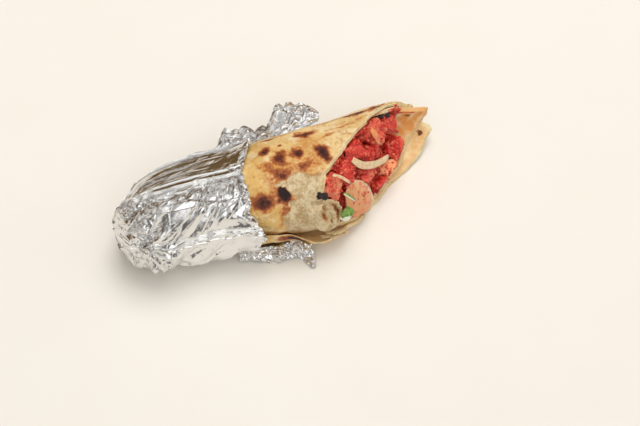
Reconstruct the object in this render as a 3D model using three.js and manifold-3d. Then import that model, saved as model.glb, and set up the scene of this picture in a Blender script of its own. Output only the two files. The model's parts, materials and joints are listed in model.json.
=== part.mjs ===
// Half of a paratha wrap: a griddled flatbread rolled round a red chicken filling and cut across on the slant.
// Its lower half is still in a crumpled foil sleeve, whose peeled top lies behind and under the bread.
// Millimetres. +X runs along the roll to the cut, +Y to the back and +Z up. The roll is laid out with x = 0 at
// the middle of the cut and z = 0 on the floor, and the whole is then centred over the origin.

import * as THREE from "three";
import { mergeVertices } from "three/addons/utils/BufferGeometryUtils.js";
import Module from "manifold-3d";

const wasm = await Module();
wasm.setup();

// Driving dimensions

const DEGREE = Math.PI / 180;
const CLEARANCE = 0.4; // between one piece and the next
const BREAD = {
  startX: -104, // the end inside the foil
  halfWidth: 29,
  halfHeight: 25.5,
  flareFromX: -64,
  flareWidth: 5, // the mouth is wider than the sleeve
  flareHeight: 2.5,
  endTaper: 6.5,
  endTaperLength: 26,
  thickness: 2.4,
  layerGap: 0.5,
  outerEdge: 205 * DEGREE, // the free edge outside, low on the front
  innerEdge: 755 * DEGREE, // the free edge inside, at the back: a turn and a half from the outer one
  tuckFrom: 300 * DEGREE, // the sheet slips under its own outer edge between these turns
  tuckTo: 352 * DEGREE,
  flatDepth: 1.6, // the round underside is pressed flat by this much
  lift: 1.1, // height of the underside where foil lies beneath it
  unevenness: 0.7,
  // The foil presses it flat between long ridges, each at an angle and a height over a round of this radius
  pressed: {
    flatness: 0.85,
    radius: 30,
    rounding: 7 * DEGREE,
    fromX: -76,
    toX: -52,
    ridges: [
      { angle: -20 * DEGREE, height: 0 },
      { angle: 35 * DEGREE, height: 0.4 },
      { angle: 90 * DEGREE, height: -2.6 },
      { angle: 111 * DEGREE, height: -3.4 },
      { angle: 160 * DEGREE, height: 0.4 },
      { angle: 206 * DEGREE, height: -0.8 },
      { angle: 240 * DEGREE, height: 0 },
    ],
  },
  squeezed: { depth: 0.8, fromX: -62, toX: -50 }, // and holds it in a little all round
  edgeShare: 0.35, // the free edge outside thins to this share
  edgeThins: 13 * DEGREE,
  // That edge lies higher up the front near the foil
  rise: { angle: 24 * DEGREE, until: 262 * DEGREE, fromX: -50, toX: -28 },
  // and lifts away from the roll at the mouth
  peel: {
    angle: 206 * DEGREE,
    width: 44 * DEGREE,
    x: -31,
    length: 20,
    reach: 4.6,
  },
  // A patch of skin has flaked away above it
  tear: {
    angle: 512 * DEGREE,
    width: 38 * DEGREE,
    x: -32,
    length: 20,
    depth: 0.6,
  },
};
const CUT = {
  middleX: 2,
  slope: 1.04, // the cut runs further along the roll at the back than at the front
  lean: 0.53, // and further at the bottom than at the top
  ripple: 1.1,
  // Where its edge reaches out or is torn back, and the widths of that before and after the middle
  reaches: [
    { angle: 712 * DEGREE, before: 38 * DEGREE, after: 24 * DEGREE, reach: 11 },
    { angle: 320 * DEGREE, before: 60 * DEGREE, after: 22 * DEGREE, reach: 10.5 },
    { angle: 530 * DEGREE, before: 34 * DEGREE, after: 34 * DEGREE, reach: -3 },
  ],
};
const FOIL = {
  thickness: 0.6, // the crushed layers together
  endX: -137.5,
  front: { length: 24, power: 2.4 }, // the closed end is blunt low at the front
  back: { length: 48, power: 1.55 }, // and drawn in high at the back
  backAngle: 30 * DEGREE,
  squareness: 0.45, // the end draws in less in height than in width
  edgeX: -66.5, // the sleeve's rim, which runs on low at the front and along the back
  lips: [
    { angle: 174 * DEGREE, width: 38 * DEGREE, reach: 6 },
    { angle: 40 * DEGREE, width: 55 * DEGREE, reach: 10 },
  ],
  slack: 0.5,
  crumple: 2.1,
};
const COLLAR = {
  startX: -82,
  backX: -14,
  underX: -32,
  frontX: -36,
  backAngle: 4 * DEGREE, // where the peeled foil leaves the bread at the back
  frontAngle: -128 * DEGREE,
  backShare: 0.24, // share of the sheet that flares free at the back
  frontShare: 0.78, // and from here on at the front
  backFlares: [
    { x: -67, length: 9, reach: 9.4 },
    { x: -62, length: 9, reach: 8.7 },
    { x: -57, length: 10, reach: 8.8 },
    { x: -47, length: 10, reach: 6 },
    { x: -36, length: 14, reach: 15.2 },
    { x: -29.5, length: 12, reach: 14 },
    { x: -23, length: 18, reach: 12.3 },
  ],
  backReach: 3.5, // reach between the flares
  backRise: 0.28, // rise for each millimetre that the back flare reaches out
  frontReach: [7, 12], // how far the front flap lies out on the floor, at the sleeve and further on
  frontReachX: [-77, -50],
  frontRoll: 5, // height of the low roll that it is crushed into
  tail: { x: -37, length: 9, reach: 9 },
  leaf: { x: -44, length: 4, height: 5 },
  crumple: 1.3,
};
const FILLING = {
  startX: -101,
  recess: 5.5, // the chopped core stays this far inside the cut
  heldIn: 1.2, // and is drawn in by this much inside the foil
  roughness: 1.2,
  lumps: 12,
  lumpRadius: [2.2, 3.6],
};

// Steps of each surface, which set how many triangles it has
const STEPS = {
  breadTurn: 58,
  breadLength: 16,
  foilTurn: 34,
  foilLength: 13,
  collarTurn: 32,
  collarLength: 13,
  coreTurn: 24,
  coreLength: 9,
  coreFace: 5,
  roomTurn: 48,
  roomLength: 24,
  foldAlong: 10,
  foldAcross: 8,
};

// Small maths

const clamp = (t) => Math.min(1, Math.max(0, t));
const mix = (a, b, t) => a + (b - a) * t;

function smooth(from, to, value) {
  const t = clamp((value - from) / (to - from));
  return t * t * (3 - 2 * t);
}

// A rounded bump of height 1 at the middle that has gone at one width from it
const bump = (value, middle, width) =>
  1 - smooth(0, width, Math.abs(value - middle));

function seededRandom(seed) {
  let state = seed >>> 0;
  return () => {
    state = (Math.imul(state, 1664525) + 1013904223) >>> 0;
    return state / 4294967296;
  };
}

// Closed surfaces and solids

function solidOf(points, triangles) {
  const geometry = new THREE.BufferGeometry();
  geometry.setAttribute(
    "position",
    new THREE.Float32BufferAttribute(
      points.flatMap((p) => p.toArray()),
      3,
    ),
  );
  geometry.setIndex(triangles);
  return solidOfGeometry(geometry);
}

function solidOfGeometry(geometry) {
  geometry.deleteAttribute("normal");
  geometry.deleteAttribute("uv");
  const merged = mergeVertices(geometry, 1e-4);
  const build = (triVerts) =>
    new wasm.Manifold(
      new wasm.Mesh({
        numProp: 3,
        vertProperties: merged.attributes.position.array,
        triVerts,
      }),
    );
  const triVerts = new Uint32Array(merged.index.array);
  const solid = build(triVerts);
  return solid.volume() > 0 ? solid : build(triVerts.toReversed());
}

function geometryOf(solid) {
  const mesh = solid.getMesh();
  const positions = [];
  for (let i = 0; i < mesh.numVert; i += 1) {
    positions.push(
      ...mesh.vertProperties.subarray(i * mesh.numProp, i * mesh.numProp + 3),
    );
  }
  const geometry = new THREE.BufferGeometry();
  geometry.setAttribute(
    "position",
    new THREE.Float32BufferAttribute(positions, 3),
  );
  geometry.setIndex([...mesh.triVerts]);
  geometry.computeVertexNormals();
  return geometry;
}

// The largest body that a cut leaves: loose scraps are dropped
function mainBody(solid) {
  const bodies = solid.decompose();
  return bodies.reduce((best, body) =>
    body.volume() > best.volume() ? body : best,
  );
}

// Two grids of points, one for each face, closed along all four edges
function closedSheet(face, back, stepsU, stepsV) {
  const points = [];
  for (const side of [face, back]) {
    for (let i = 0; i <= stepsU; i += 1) {
      for (let j = 0; j <= stepsV; j += 1)
        points.push(side(i / stepsU, j / stepsV, i, j));
    }
  }
  const half = (stepsU + 1) * (stepsV + 1);
  const at = (i, j, side) => side * half + i * (stepsV + 1) + j;
  const triangles = [];
  const quad = (a, b, c, d) => triangles.push(a, b, c, a, c, d);
  for (let i = 0; i < stepsU; i += 1) {
    for (let j = 0; j < stepsV; j += 1) {
      quad(at(i, j, 0), at(i + 1, j, 0), at(i + 1, j + 1, 0), at(i, j + 1, 0));
      quad(at(i, j, 1), at(i, j + 1, 1), at(i + 1, j + 1, 1), at(i + 1, j, 1));
    }
  }
  for (let i = 0; i < stepsU; i += 1) {
    quad(at(i, 0, 0), at(i, 0, 1), at(i + 1, 0, 1), at(i + 1, 0, 0));
    quad(
      at(i, stepsV, 0),
      at(i + 1, stepsV, 0),
      at(i + 1, stepsV, 1),
      at(i, stepsV, 1),
    );
  }
  for (let j = 0; j < stepsV; j += 1) {
    quad(at(0, j, 0), at(0, j + 1, 0), at(0, j + 1, 1), at(0, j, 1));
    quad(
      at(stepsU, j, 0),
      at(stepsU, j, 1),
      at(stepsU, j + 1, 1),
      at(stepsU, j + 1, 0),
    );
  }
  return solidOf(points, triangles);
}

// A sheet of one thickness, set off to both sides of a middle surface
function thickSheet(middle, thickness, stepsU, stepsV) {
  const grid = [];
  for (let i = 0; i <= stepsU; i += 1) {
    grid.push([]);
    for (let j = 0; j <= stepsV; j += 1)
      grid[i].push(middle(i / stepsU, j / stepsV, i, j));
  }
  const normal = (i, j) => {
    const alongU = grid[Math.min(i + 1, stepsU)][j]
      .clone()
      .sub(grid[Math.max(i - 1, 0)][j]);
    const alongV = grid[i][Math.min(j + 1, stepsV)]
      .clone()
      .sub(grid[i][Math.max(j - 1, 0)]);
    return alongU.cross(alongV).normalize();
  };
  const offset = (sign) => (u, v, i, j) =>
    grid[i][j].clone().addScaledVector(normal(i, j), (sign * thickness) / 2);
  return closedSheet(offset(1), offset(-1), stepsU, stepsV);
}

// Rings of points from one pole to the other; the quads before one ring are split the other way, so that the
// two faces of a folded wall are alike
function loft(startPole, rings, endPole, turnedBefore = 0) {
  const around = rings[0].length;
  const points = [startPole, ...rings.flat(), endPole];
  const last = points.length - 1;
  const at = (ring, k) => 1 + ring * around + (k % around);
  const triangles = [];
  for (let k = 0; k < around; k += 1) {
    triangles.push(0, at(0, k + 1), at(0, k));
    for (let r = 0; r + 1 < rings.length; r += 1) {
      if (r < turnedBefore) {
        triangles.push(at(r, k), at(r, k + 1), at(r + 1, k));
        triangles.push(at(r, k + 1), at(r + 1, k + 1), at(r + 1, k));
      } else {
        triangles.push(at(r, k), at(r, k + 1), at(r + 1, k + 1));
        triangles.push(at(r, k), at(r + 1, k + 1), at(r + 1, k));
      }
    }
    triangles.push(at(rings.length - 1, k), at(rings.length - 1, k + 1), last);
  }
  return solidOf(points, triangles);
}

// The roll's section

const rollHalfWidth = (x) =>
  BREAD.halfWidth +
  BREAD.flareWidth * smooth(BREAD.flareFromX, 40, x) -
  BREAD.endTaper *
    smooth(BREAD.startX + BREAD.endTaperLength, BREAD.startX, x);

const rollHalfHeight = (x) =>
  BREAD.halfHeight +
  BREAD.flareHeight * smooth(BREAD.flareFromX, 20, x) -
  BREAD.endTaper *
    smooth(BREAD.startX + BREAD.endTaperLength, BREAD.startX, x);

// The bread comes down to the floor past the foil that lies under it
const rollLift = (x) =>
  mix(BREAD.lift, 0, smooth(COLLAR.underX + 4, COLLAR.underX + 22, x));

const rollAxisZ = (x) =>
  rollLift(x) +
  BREAD.halfHeight +
  BREAD.flareHeight * smooth(BREAD.flareFromX, 20, x) -
  BREAD.flatDepth;

const unevenness = (angle, x) =>
  BREAD.unevenness *
  (Math.sin(3 * angle + 0.06 * x) + 0.6 * Math.sin(5 * angle - 0.09 * x + 1));

// How far out the flats between the ridges lie from the round that the ridges stand on
function flatOut(angle) {
  const { flatness, radius, ridges } = BREAD.pressed;
  const first = ridges[0].angle;
  const turn = 2 * Math.PI;
  const at = first + ((((angle - first) % turn) + turn) % turn);
  const next = ridges.findIndex((ridge) => ridge.angle > at);
  if (next < 1) return 0;
  const near = radius + ridges[next - 1].height;
  const far = radius + ridges[next].height;
  const turned = at - ridges[next - 1].angle;
  const left = ridges[next].angle - at;
  const chord =
    (near * far * Math.sin(turned + left)) /
    (far * Math.sin(turned) + near * Math.sin(left));
  return flatness * (chord - radius);
}

// The flats meet in rounded corners
function pressedOut(angle, x) {
  const { fromX, toX, rounding } = BREAD.pressed;
  const rounded =
    (flatOut(angle - rounding) + 2 * flatOut(angle) + flatOut(angle + rounding)) / 4;
  return rounded * smooth(toX, fromX, x);
}

// How far the outer edge of the bread lifts from the roll
function peelOut(angle, x) {
  const { peel } = BREAD;
  return (
    peel.reach *
    bump(angle, peel.angle, peel.width) *
    bump(x, peel.x, peel.length)
  );
}

// A point of the roll's wall, a distance inside its outer face, or outside it where that is negative, and
// lifted outwards from there
function rollPoint(x, angle, inside, lifted = 0) {
  const grown = unevenness(angle, x) + pressedOut(angle, x) - inside + lifted;
  const y = (rollHalfWidth(x) + grown) * Math.cos(angle);
  const z =
    rollAxisZ(x) + (rollHalfHeight(x) + grown) * Math.sin(angle);
  return new THREE.Vector3(x, y, Math.max(z, rollLift(x) + inside));
}

// The slanting cut

const cutPlaneX = (y, aboveAxis) =>
  CUT.middleX + CUT.slope * y - CUT.lean * aboveAxis;

const cutNormal = new THREE.Vector3(1, -CUT.slope, CUT.lean).normalize();
const cutAlong = new THREE.Vector3(CUT.slope, 1, 0).normalize();
const cutUp = cutNormal.clone().cross(cutAlong).normalize();

// The way up and out of the mouth, along which the pieces in it are set proud
const outward = new THREE.Vector3(-0.132, -0.498, 0.857).normalize();

// A point in the mouth: across it, above the roll's axis, and proud of the cut
function mouthPoint(across, above, proud) {
  return new THREE.Vector3(
    cutPlaneX(across, above),
    across,
    rollAxisZ(CUT.middleX) + above,
  ).addScaledVector(outward, proud / outward.dot(cutNormal));
}

function cutEndX(angle, inside) {
  let x = CUT.middleX;
  for (let pass = 0; pass < 6; pass += 1) {
    const p = rollPoint(x, angle, inside);
    x = mix(x, cutPlaneX(p.y, p.z - rollAxisZ(x)), 0.7);
  }
  return (
    x + CUT.ripple * (Math.sin(5 * angle + 1) + 0.6 * Math.sin(11 * angle + 2))
  );
}

const breadEndX = (angle, inside) =>
  CUT.reaches.reduce((x, { angle: middle, before, after, reach }) => {
    const width = angle < middle ? before : after;
    return x + reach * bump(angle, middle, width);
  }, cutEndX(angle, inside));

// Bread

// How far a turn of the sheet lies inside the roll's outer face
const layerInside = (angle) =>
  (BREAD.thickness + BREAD.layerGap) *
  smooth(
    BREAD.outerEdge + BREAD.tuckFrom,
    BREAD.outerEdge + BREAD.tuckTo,
    angle,
  );

function makeBread() {
  const { rise, squeezed, tear } = BREAD;
  const face = (deeper) => (u, v) => {
    const angle = mix(BREAD.outerEdge, BREAD.innerEdge, u);
    const thinned = mix(
      BREAD.edgeShare,
      1,
      smooth(0, BREAD.edgeThins, angle - BREAD.outerEdge),
    );
    const inside = layerInside(angle) + deeper * thinned;
    const along = 1 - (1 - v) ** 1.25;
    const x = mix(BREAD.startX, breadEndX(angle, inside), along);
    const higher =
      rise.angle *
      smooth(rise.toX, rise.fromX, x) *
      smooth(rise.until, BREAD.outerEdge, angle);
    const held = squeezed.depth * smooth(squeezed.toX, squeezed.fromX, x);
    const torn =
      bump(angle, tear.angle, tear.width) * bump(x, tear.x, tear.length);
    const flaked = deeper > 0 ? 0 : tear.depth * smooth(0, 0.35, torn);
    const lifted = peelOut(angle, x) - flaked - held;
    return rollPoint(x, angle - higher, inside, lifted);
  };
  return closedSheet(
    face(0),
    face(BREAD.thickness),
    STEPS.breadTurn,
    STEPS.breadLength,
  );
}

const curveThrough = (points) => new THREE.CatmullRomCurve3(points);

// A surface between two curves, bulging towards the way out of the mouth, with ridges and hollows in it
function sheetBetween(root, edge, sheet, margin) {
  const spread = root.getPointAt(0.5).distanceTo(edge.getPointAt(0.5));
  return (u, v) => {
    const across = mix(-margin / spread, 1 + margin / spread, v);
    const dents = (sheet.dents ?? []).reduce((sum, dent) => {
      const along = bump(u, dent.along, dent.length);
      return sum + dent.rise * along * bump(across, dent.across, dent.width);
    }, 0);
    const bulge = sheet.bulge * Math.sin(Math.PI * clamp(across) ** 1.3);
    return root
      .getPointAt(u)
      .lerp(edge.getPointAt(u), across)
      .addScaledVector(outward, bulge + dents);
  };
}

// Layers of the torn front that curl over into the mouth: a root in the wall, as x, degrees round the roll and
// depth inside it, and a free edge, as across, above and proud of the cut
const FOLDS = [
  {
    root: [[-34.5, 140, 0.9], [-34.5, 155, 0.9], [-34.5, 170, 0.9], [-31.5, 185, 0.9], [-26, 196, 1.2]],
    edge: [[-21.7, 14.3, 2.4], [-19.1, 7.4, 3.6], [-19, -1, 3.6], [-22.1, -6.6, 3], [-26.8, -8.6, 1.4]],
    thickness: 1,
    bulge: 1.2,
    dents: [
      { along: 0.55, length: 0.5, across: 0.66, width: 0.12, rise: 1.2 },
      { along: 0.58, length: 0.42, across: 0.83, width: 0.12, rise: -2.4 },
    ],
  },
  {
    root: [[-38, 146, 1], [-38.5, 160, 1], [-37.5, 174, 1]],
    edge: [[-22.2, 11.5, 2.2], [-25, 10.6, 2.4], [-27.5, 9, 2.4], [-28.4, 4.5, 1.6]],
    thickness: 0.8,
    bulge: 0.6,
  },
];

function makeFold(fold, margin) {
  const root = curveThrough(
    fold.root.map(([x, degrees, inside]) =>
      rollPoint(x, degrees * DEGREE, inside),
    ),
  );
  const edge = curveThrough(fold.edge.map((point) => mouthPoint(...point)));
  return thickSheet(
    sheetBetween(root, edge, fold, margin),
    fold.thickness + 2 * margin,
    STEPS.foldAlong,
    STEPS.foldAcross,
  );
}

// Foil sleeve and collar

function makeSleeve() {
  const random = seededRandom(11);
  const jitter = [];
  for (let k = 0; k < STEPS.foilTurn; k += 1) {
    jitter.push(
      Array.from(
        { length: STEPS.foilLength },
        (_, j) => FOIL.crumple * random() ** 1.5 * smooth(2, 4, j),
      ),
    );
  }
  const rim = (angle) =>
    FOIL.lips.reduce(
      (x, lip) => x + lip.reach * bump(angle, lip.angle, lip.width),
      FOIL.edgeX,
    );
  const ring = (j, outside) => {
    const points = [];
    for (let k = 0; k < STEPS.foilTurn; k += 1) {
      const angle = (2 * Math.PI * k) / STEPS.foilTurn;
      const t = j / STEPS.foilLength;
      const x = mix(rim(angle), FOIL.endX, 1 - (1 - t) ** 1.35);
      const toBack = smooth(-1, 1, Math.cos(angle - FOIL.backAngle));
      const length = mix(FOIL.front.length, FOIL.back.length, toBack);
      const power = mix(FOIL.front.power, FOIL.back.power, toBack);
      const depth = clamp((FOIL.endX + length - x) / length);
      const cap = (1 - depth ** power) ** (1 / power);
      const inBread = Math.max(x, BREAD.startX + BREAD.endTaperLength);
      const grown = FOIL.slack + jitter[k][j] + outside;
      const p = rollPoint(inBread, angle, -grown);
      const axisZ = rollAxisZ(inBread);
      p.set(x, p.y * cap, axisZ + (p.z - axisZ) * cap ** FOIL.squareness);
      p.z = Math.max(p.z, FOIL.thickness - outside);
      points.push(p);
    }
    return points;
  };
  const steps = Array.from({ length: STEPS.foilLength }, (_, j) => j);
  const outer = steps.map((j) => ring(j, FOIL.thickness)).reverse();
  const inner = steps.map((j) => ring(j, 0));
  const poleZ = rollAxisZ(FOIL.edgeX);
  const outerPole = new THREE.Vector3(FOIL.endX, 0, poleZ);
  const innerPole = outerPole.clone().setX(FOIL.endX + FOIL.thickness);
  return loft(outerPole, [...outer, ...inner], innerPole, outer.length);
}

function makeCollar() {
  const random = seededRandom(23);
  const jitter = Array.from({ length: STEPS.collarTurn + 1 }, () =>
    Array.from(
      { length: STEPS.collarLength + 1 },
      (_, j) => COLLAR.crumple * (random() - 0.5) * smooth(2, 5, j),
    ),
  );
  const hug = FOIL.slack + 0.75 * FOIL.thickness;
  const { backShare, frontShare, tail, leaf } = COLLAR;
  const middle = (u, v, i, j) => {
    const under = clamp((u - backShare) / (frontShare - backShare));
    const endX =
      u < 0.5
        ? mix(COLLAR.backX, COLLAR.underX, smooth(0.1, 0.4, u))
        : mix(COLLAR.underX, COLLAR.frontX, smooth(0.6, 0.9, u));
    const x = mix(COLLAR.startX, endX, v) + jitter[i][j] * smooth(0.5, 1, v);
    const angle = mix(COLLAR.backAngle, COLLAR.frontAngle, under);
    const lifted = peelOut(angle + 2 * Math.PI, x) + Math.abs(jitter[i][j]);
    const p = rollPoint(x, angle, -hug, lifted);
    const back = clamp(1 - u / backShare);
    const front = clamp((u - frontShare) / (1 - frontShare));
    const lobes = COLLAR.backFlares.map(
      (flare) => flare.reach * bump(x, flare.x, flare.length),
    );
    const backReach = COLLAR.backReach + Math.max(...lobes);
    const frontReach =
      mix(...COLLAR.frontReach, smooth(...COLLAR.frontReachX, x)) +
      tail.reach * bump(x, tail.x, tail.length);
    const wobble = 1.6 * jitter[i][j];
    p.y += backReach * back - frontReach * front;
    p.z += backReach * COLLAR.backRise * back ** 2 + wobble * back;
    const lying =
      1 +
      COLLAR.frontRoll * Math.sin(Math.PI * front ** 0.8) +
      leaf.height * bump(x, leaf.x, leaf.length) * Math.sin(Math.PI * front);
    p.z = mix(p.z, lying, smooth(0, 0.35, front));
    p.z = Math.max(p.z, FOIL.thickness / 2);
    return p;
  };
  return thickSheet(
    middle,
    FOIL.thickness,
    STEPS.collarTurn,
    STEPS.collarLength,
  );
}

// Filling

// How far inside the roll's outer face the hollow begins: past two layers of bread at the bottom and the back,
// past one on top
function hollowInside(angle) {
  const turn = BREAD.outerEdge + ((angle - BREAD.outerEdge) % (2 * Math.PI));
  const twoLayers = 2 * BREAD.thickness + BREAD.layerGap;
  const single = layerInside(turn) + BREAD.thickness;
  return mix(twoLayers, single, smooth(402 * DEGREE, 420 * DEGREE, turn));
}

// Rings round the hollow from its inner end to a distance past the cut
function hollowRings(past, margin, turnSteps, lengthSteps) {
  const rings = [];
  for (let j = 0; j <= lengthSteps; j += 1) {
    const ring = [];
    for (let k = 0; k < turnSteps; k += 1) {
      const angle = BREAD.outerEdge + (2 * Math.PI * k) / turnSteps;
      const inside = hollowInside(angle) + margin;
      const endX = cutEndX(angle, inside) + past;
      const x = mix(FILLING.startX, endX, (j / lengthSteps) ** 1.5);
      const held = FILLING.heldIn * smooth(-40, -60, x);
      ring.push(rollPoint(x, angle, inside + held));
    }
    rings.push(ring);
  }
  return rings;
}

const ringMiddle = (ring) =>
  ring
    .reduce((sum, p) => sum.add(p), new THREE.Vector3())
    .divideScalar(ring.length);

// The room inside the bread, run on past the cut
function makeRoom() {
  const rings = hollowRings(30, CLEARANCE, STEPS.roomTurn, STEPS.roomLength);
  return loft(ringMiddle(rings[0]), rings, ringMiddle(rings.at(-1)));
}

function makeCore(room) {
  const random = seededRandom(37);
  const rings = hollowRings(
    -FILLING.recess,
    2.5 * CLEARANCE,
    STEPS.coreTurn,
    STEPS.coreLength,
  );
  const rim = rings.at(-1);
  const middle = ringMiddle(rim);
  for (let f = 1; f < STEPS.coreFace; f += 1) {
    rings.push(
      rim.map((p) =>
        p
          .clone()
          .lerp(middle, f / STEPS.coreFace)
          .addScaledVector(cutNormal, FILLING.roughness * (2 * random() - 1)),
      ),
    );
  }
  let core = loft(ringMiddle(rings[0]), rings, middle);
  for (let n = 0; n < FILLING.lumps; n += 1) {
    const reach = Math.sqrt(random()) * 0.9;
    const at = rim[Math.floor(random() * rim.length)];
    const radius = mix(...FILLING.lumpRadius, random());
    const lump = new THREE.IcosahedronGeometry(radius, 0);
    lump.scale(1, mix(0.7, 1.1, random()), mix(0.7, 1.1, random()));
    lump.rotateX(6 * random());
    lump.rotateY(6 * random());
    lump.translate(...middle.clone().lerp(at, reach).toArray());
    core = core.add(solidOfGeometry(lump).intersect(room));
  }
  return core;
}

// Chunks of chicken in the mouth: place across the mouth and above the axis, how far proud the middle lies, and
// half sizes along the cut, up it and into it
const CHUNKS = [
  { across: 6.4, above: -14.4, proud: -0.5, half: [7, 6.6, 8], turn: 0.3 },
  { across: -0.6, above: -16.4, proud: -0.4, half: [6, 5, 7], turn: -0.2 },
  { across: 14.8, above: -8.8, proud: -1, half: [8, 6.5, 9], turn: 0.5 },
  { across: -2.6, above: 0.6, proud: -2.6, half: [8.5, 6, 8], turn: -0.4 },
  { across: -7.2, above: 15, proud: -2, half: [7, 6, 8], turn: 0.2 },
  { across: 4.6, above: 9, proud: -3, half: [8, 5.6, 8], turn: 0.1 },
  { across: 13.4, above: 14, proud: -2, half: [8.5, 7.5, 9], turn: 0.6 },
  { across: 2.6, above: 19, proud: -2, half: [7, 5.6, 8], turn: -0.3 },
  { across: 21.4, above: 10, proud: -2, half: [6.5, 6, 8], turn: 0.4 },
  { across: -14.8, above: 15.4, proud: -1.5, half: [5.4, 7, 7], turn: -0.5 },
];

// Thin pieces: a line of points through the mouth, each across, above and proud; a broad one lies between its
// root and that line
const RIBBONS = {
  onion_strip_01: {
    path: [[-0.8, 12.8, 4], [-0.4, 6.9, 4.4], [0.9, 1.3, 4.4], [5.3, -6.2, 4.2], [10.5, -10.3, 3.6]],
    width: 4.4,
    thickness: 1.5,
  },
  onion_strip_02: {
    path: [[-11.2, 18.8, 2], [-9.6, 12.4, 4.4], [-9, 3, 4.6]],
    width: 1.7,
    thickness: 1.1,
  },
  onion_strip_03: {
    path: [[14.4, 15, 3.6], [13.6, 10.4, 5.4], [12.4, 3, 4.6]],
    width: 4,
    thickness: 1.2,
  },
  onion_petal_01: {
    root: [[-8.8, 2.8, 3], [-13.4, 1.8, 3.4], [-17.6, -5.6, 3.4], [-19.4, -12.6, 2.6], [-18.4, -21.4, 0.8]],
    path: [[-6.8, 2, 3], [-4.8, -4.6, 3.4], [-4.9, -12.5, 3.4], [-7.8, -20.6, 2.6], [-15.4, -23.6, 1]],
    thickness: 1,
    bulge: 2.6,
  },
  herb_leaf_01: {
    path: [[-22.6, -5.6, 5], [-20.6, -8.6, 6.4], [-18, -11.4, 6.4]],
    width: 8,
    thickness: 0.9,
    arch: 1.4,
  },
  herb_leaf_02: {
    path: [[-14.2, 2.4, 6.6], [-13.6, -3, 7.6], [-13.3, -8.4, 7.4]],
    width: 1.8,
    thickness: 0.9,
  },
};

// A lumpy rounded chunk, larger on every side by a margin
function makeChunk(chunk, seed, margin, sides = 10) {
  const geometry = new THREE.SphereGeometry(1, sides, sides - 3);
  const basis = new THREE.Matrix4().makeBasis(cutAlong, cutUp, cutNormal);
  const at = mouthPoint(chunk.across, chunk.above, chunk.proud);
  const p = new THREE.Vector3();
  const position = geometry.attributes.position;
  for (let i = 0; i < position.count; i += 1) {
    p.fromBufferAttribute(position, i);
    const lumps =
      1 +
      0.11 * Math.sin(3.1 * p.x + 2.3 * p.y + seed) +
      0.1 * Math.sin(4.3 * p.z - 2.9 * p.x + 2 * seed) +
      0.07 * Math.sin(6.1 * p.y + 4.7 * p.z + 3 * seed);
    p.set(
      p.x * (chunk.half[0] * lumps + margin),
      p.y * (chunk.half[1] * lumps + margin),
      p.z * (chunk.half[2] * lumps + margin),
    );
    p.applyAxisAngle(new THREE.Vector3(0, 0, 1), chunk.turn);
    p.applyMatrix4(basis).add(at);
    position.setXYZ(i, p.x, p.y, p.z);
  }
  return solidOfGeometry(geometry);
}

function makeRibbon(ribbon, margin) {
  const curve = curveThrough(ribbon.path.map((point) => mouthPoint(...point)));
  const thickness = ribbon.thickness + 2 * margin;
  if (ribbon.root) {
    const root = curveThrough(ribbon.root.map((point) => mouthPoint(...point)));
    return thickSheet(sheetBetween(root, curve, ribbon, margin), thickness, 10, 5);
  }
  const length = curve.getLength();
  const arch = ribbon.arch ?? 0;
  const broad = ribbon.width > 5;
  const middle = (u, v) => {
    const t = clamp(u * (1 + (2 * margin) / length) - margin / length);
    const past = u * (length + 2 * margin) - margin - t * length;
    const tangent = curve.getTangentAt(t);
    const side = tangent.clone().cross(cutNormal).normalize();
    const taper = broad
      ? Math.sqrt(1 - 0.94 * (2 * u - 1) ** 2)
      : 1 - 0.35 * (2 * u - 1) ** 4;
    return curve
      .getPointAt(t)
      .addScaledVector(tangent, past)
      .addScaledVector(side, (v - 0.5) * (ribbon.width + 2 * margin) * taper)
      .addScaledVector(cutNormal, arch * (1 - (2 * v - 1) ** 2))
      .addScaledVector(cutNormal, 0.35 * arch * Math.sin(7 * u + 5 * v));
  };
  return thickSheet(middle, thickness, broad ? 10 : 8, broad ? 5 : 1);
}

// The whole

const material = (name, color, roughness, metalness) =>
  new THREE.MeshStandardMaterial({ name, color, roughness, metalness });

const MATERIALS = {
  bread: material("griddled bread", 0xdcb67a, 0.75, 0),
  foil: material("crumpled foil", 0xc9cbcd, 0.3, 1),
  masala: material("red masala", 0xb5301f, 0.5, 0),
  chicken: material("tikka chicken", 0xd8472b, 0.5, 0),
  onion: material("onion", 0xeadcc0, 0.4, 0),
  herb: material("green herb", 0x6f9440, 0.5, 0),
};

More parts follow.
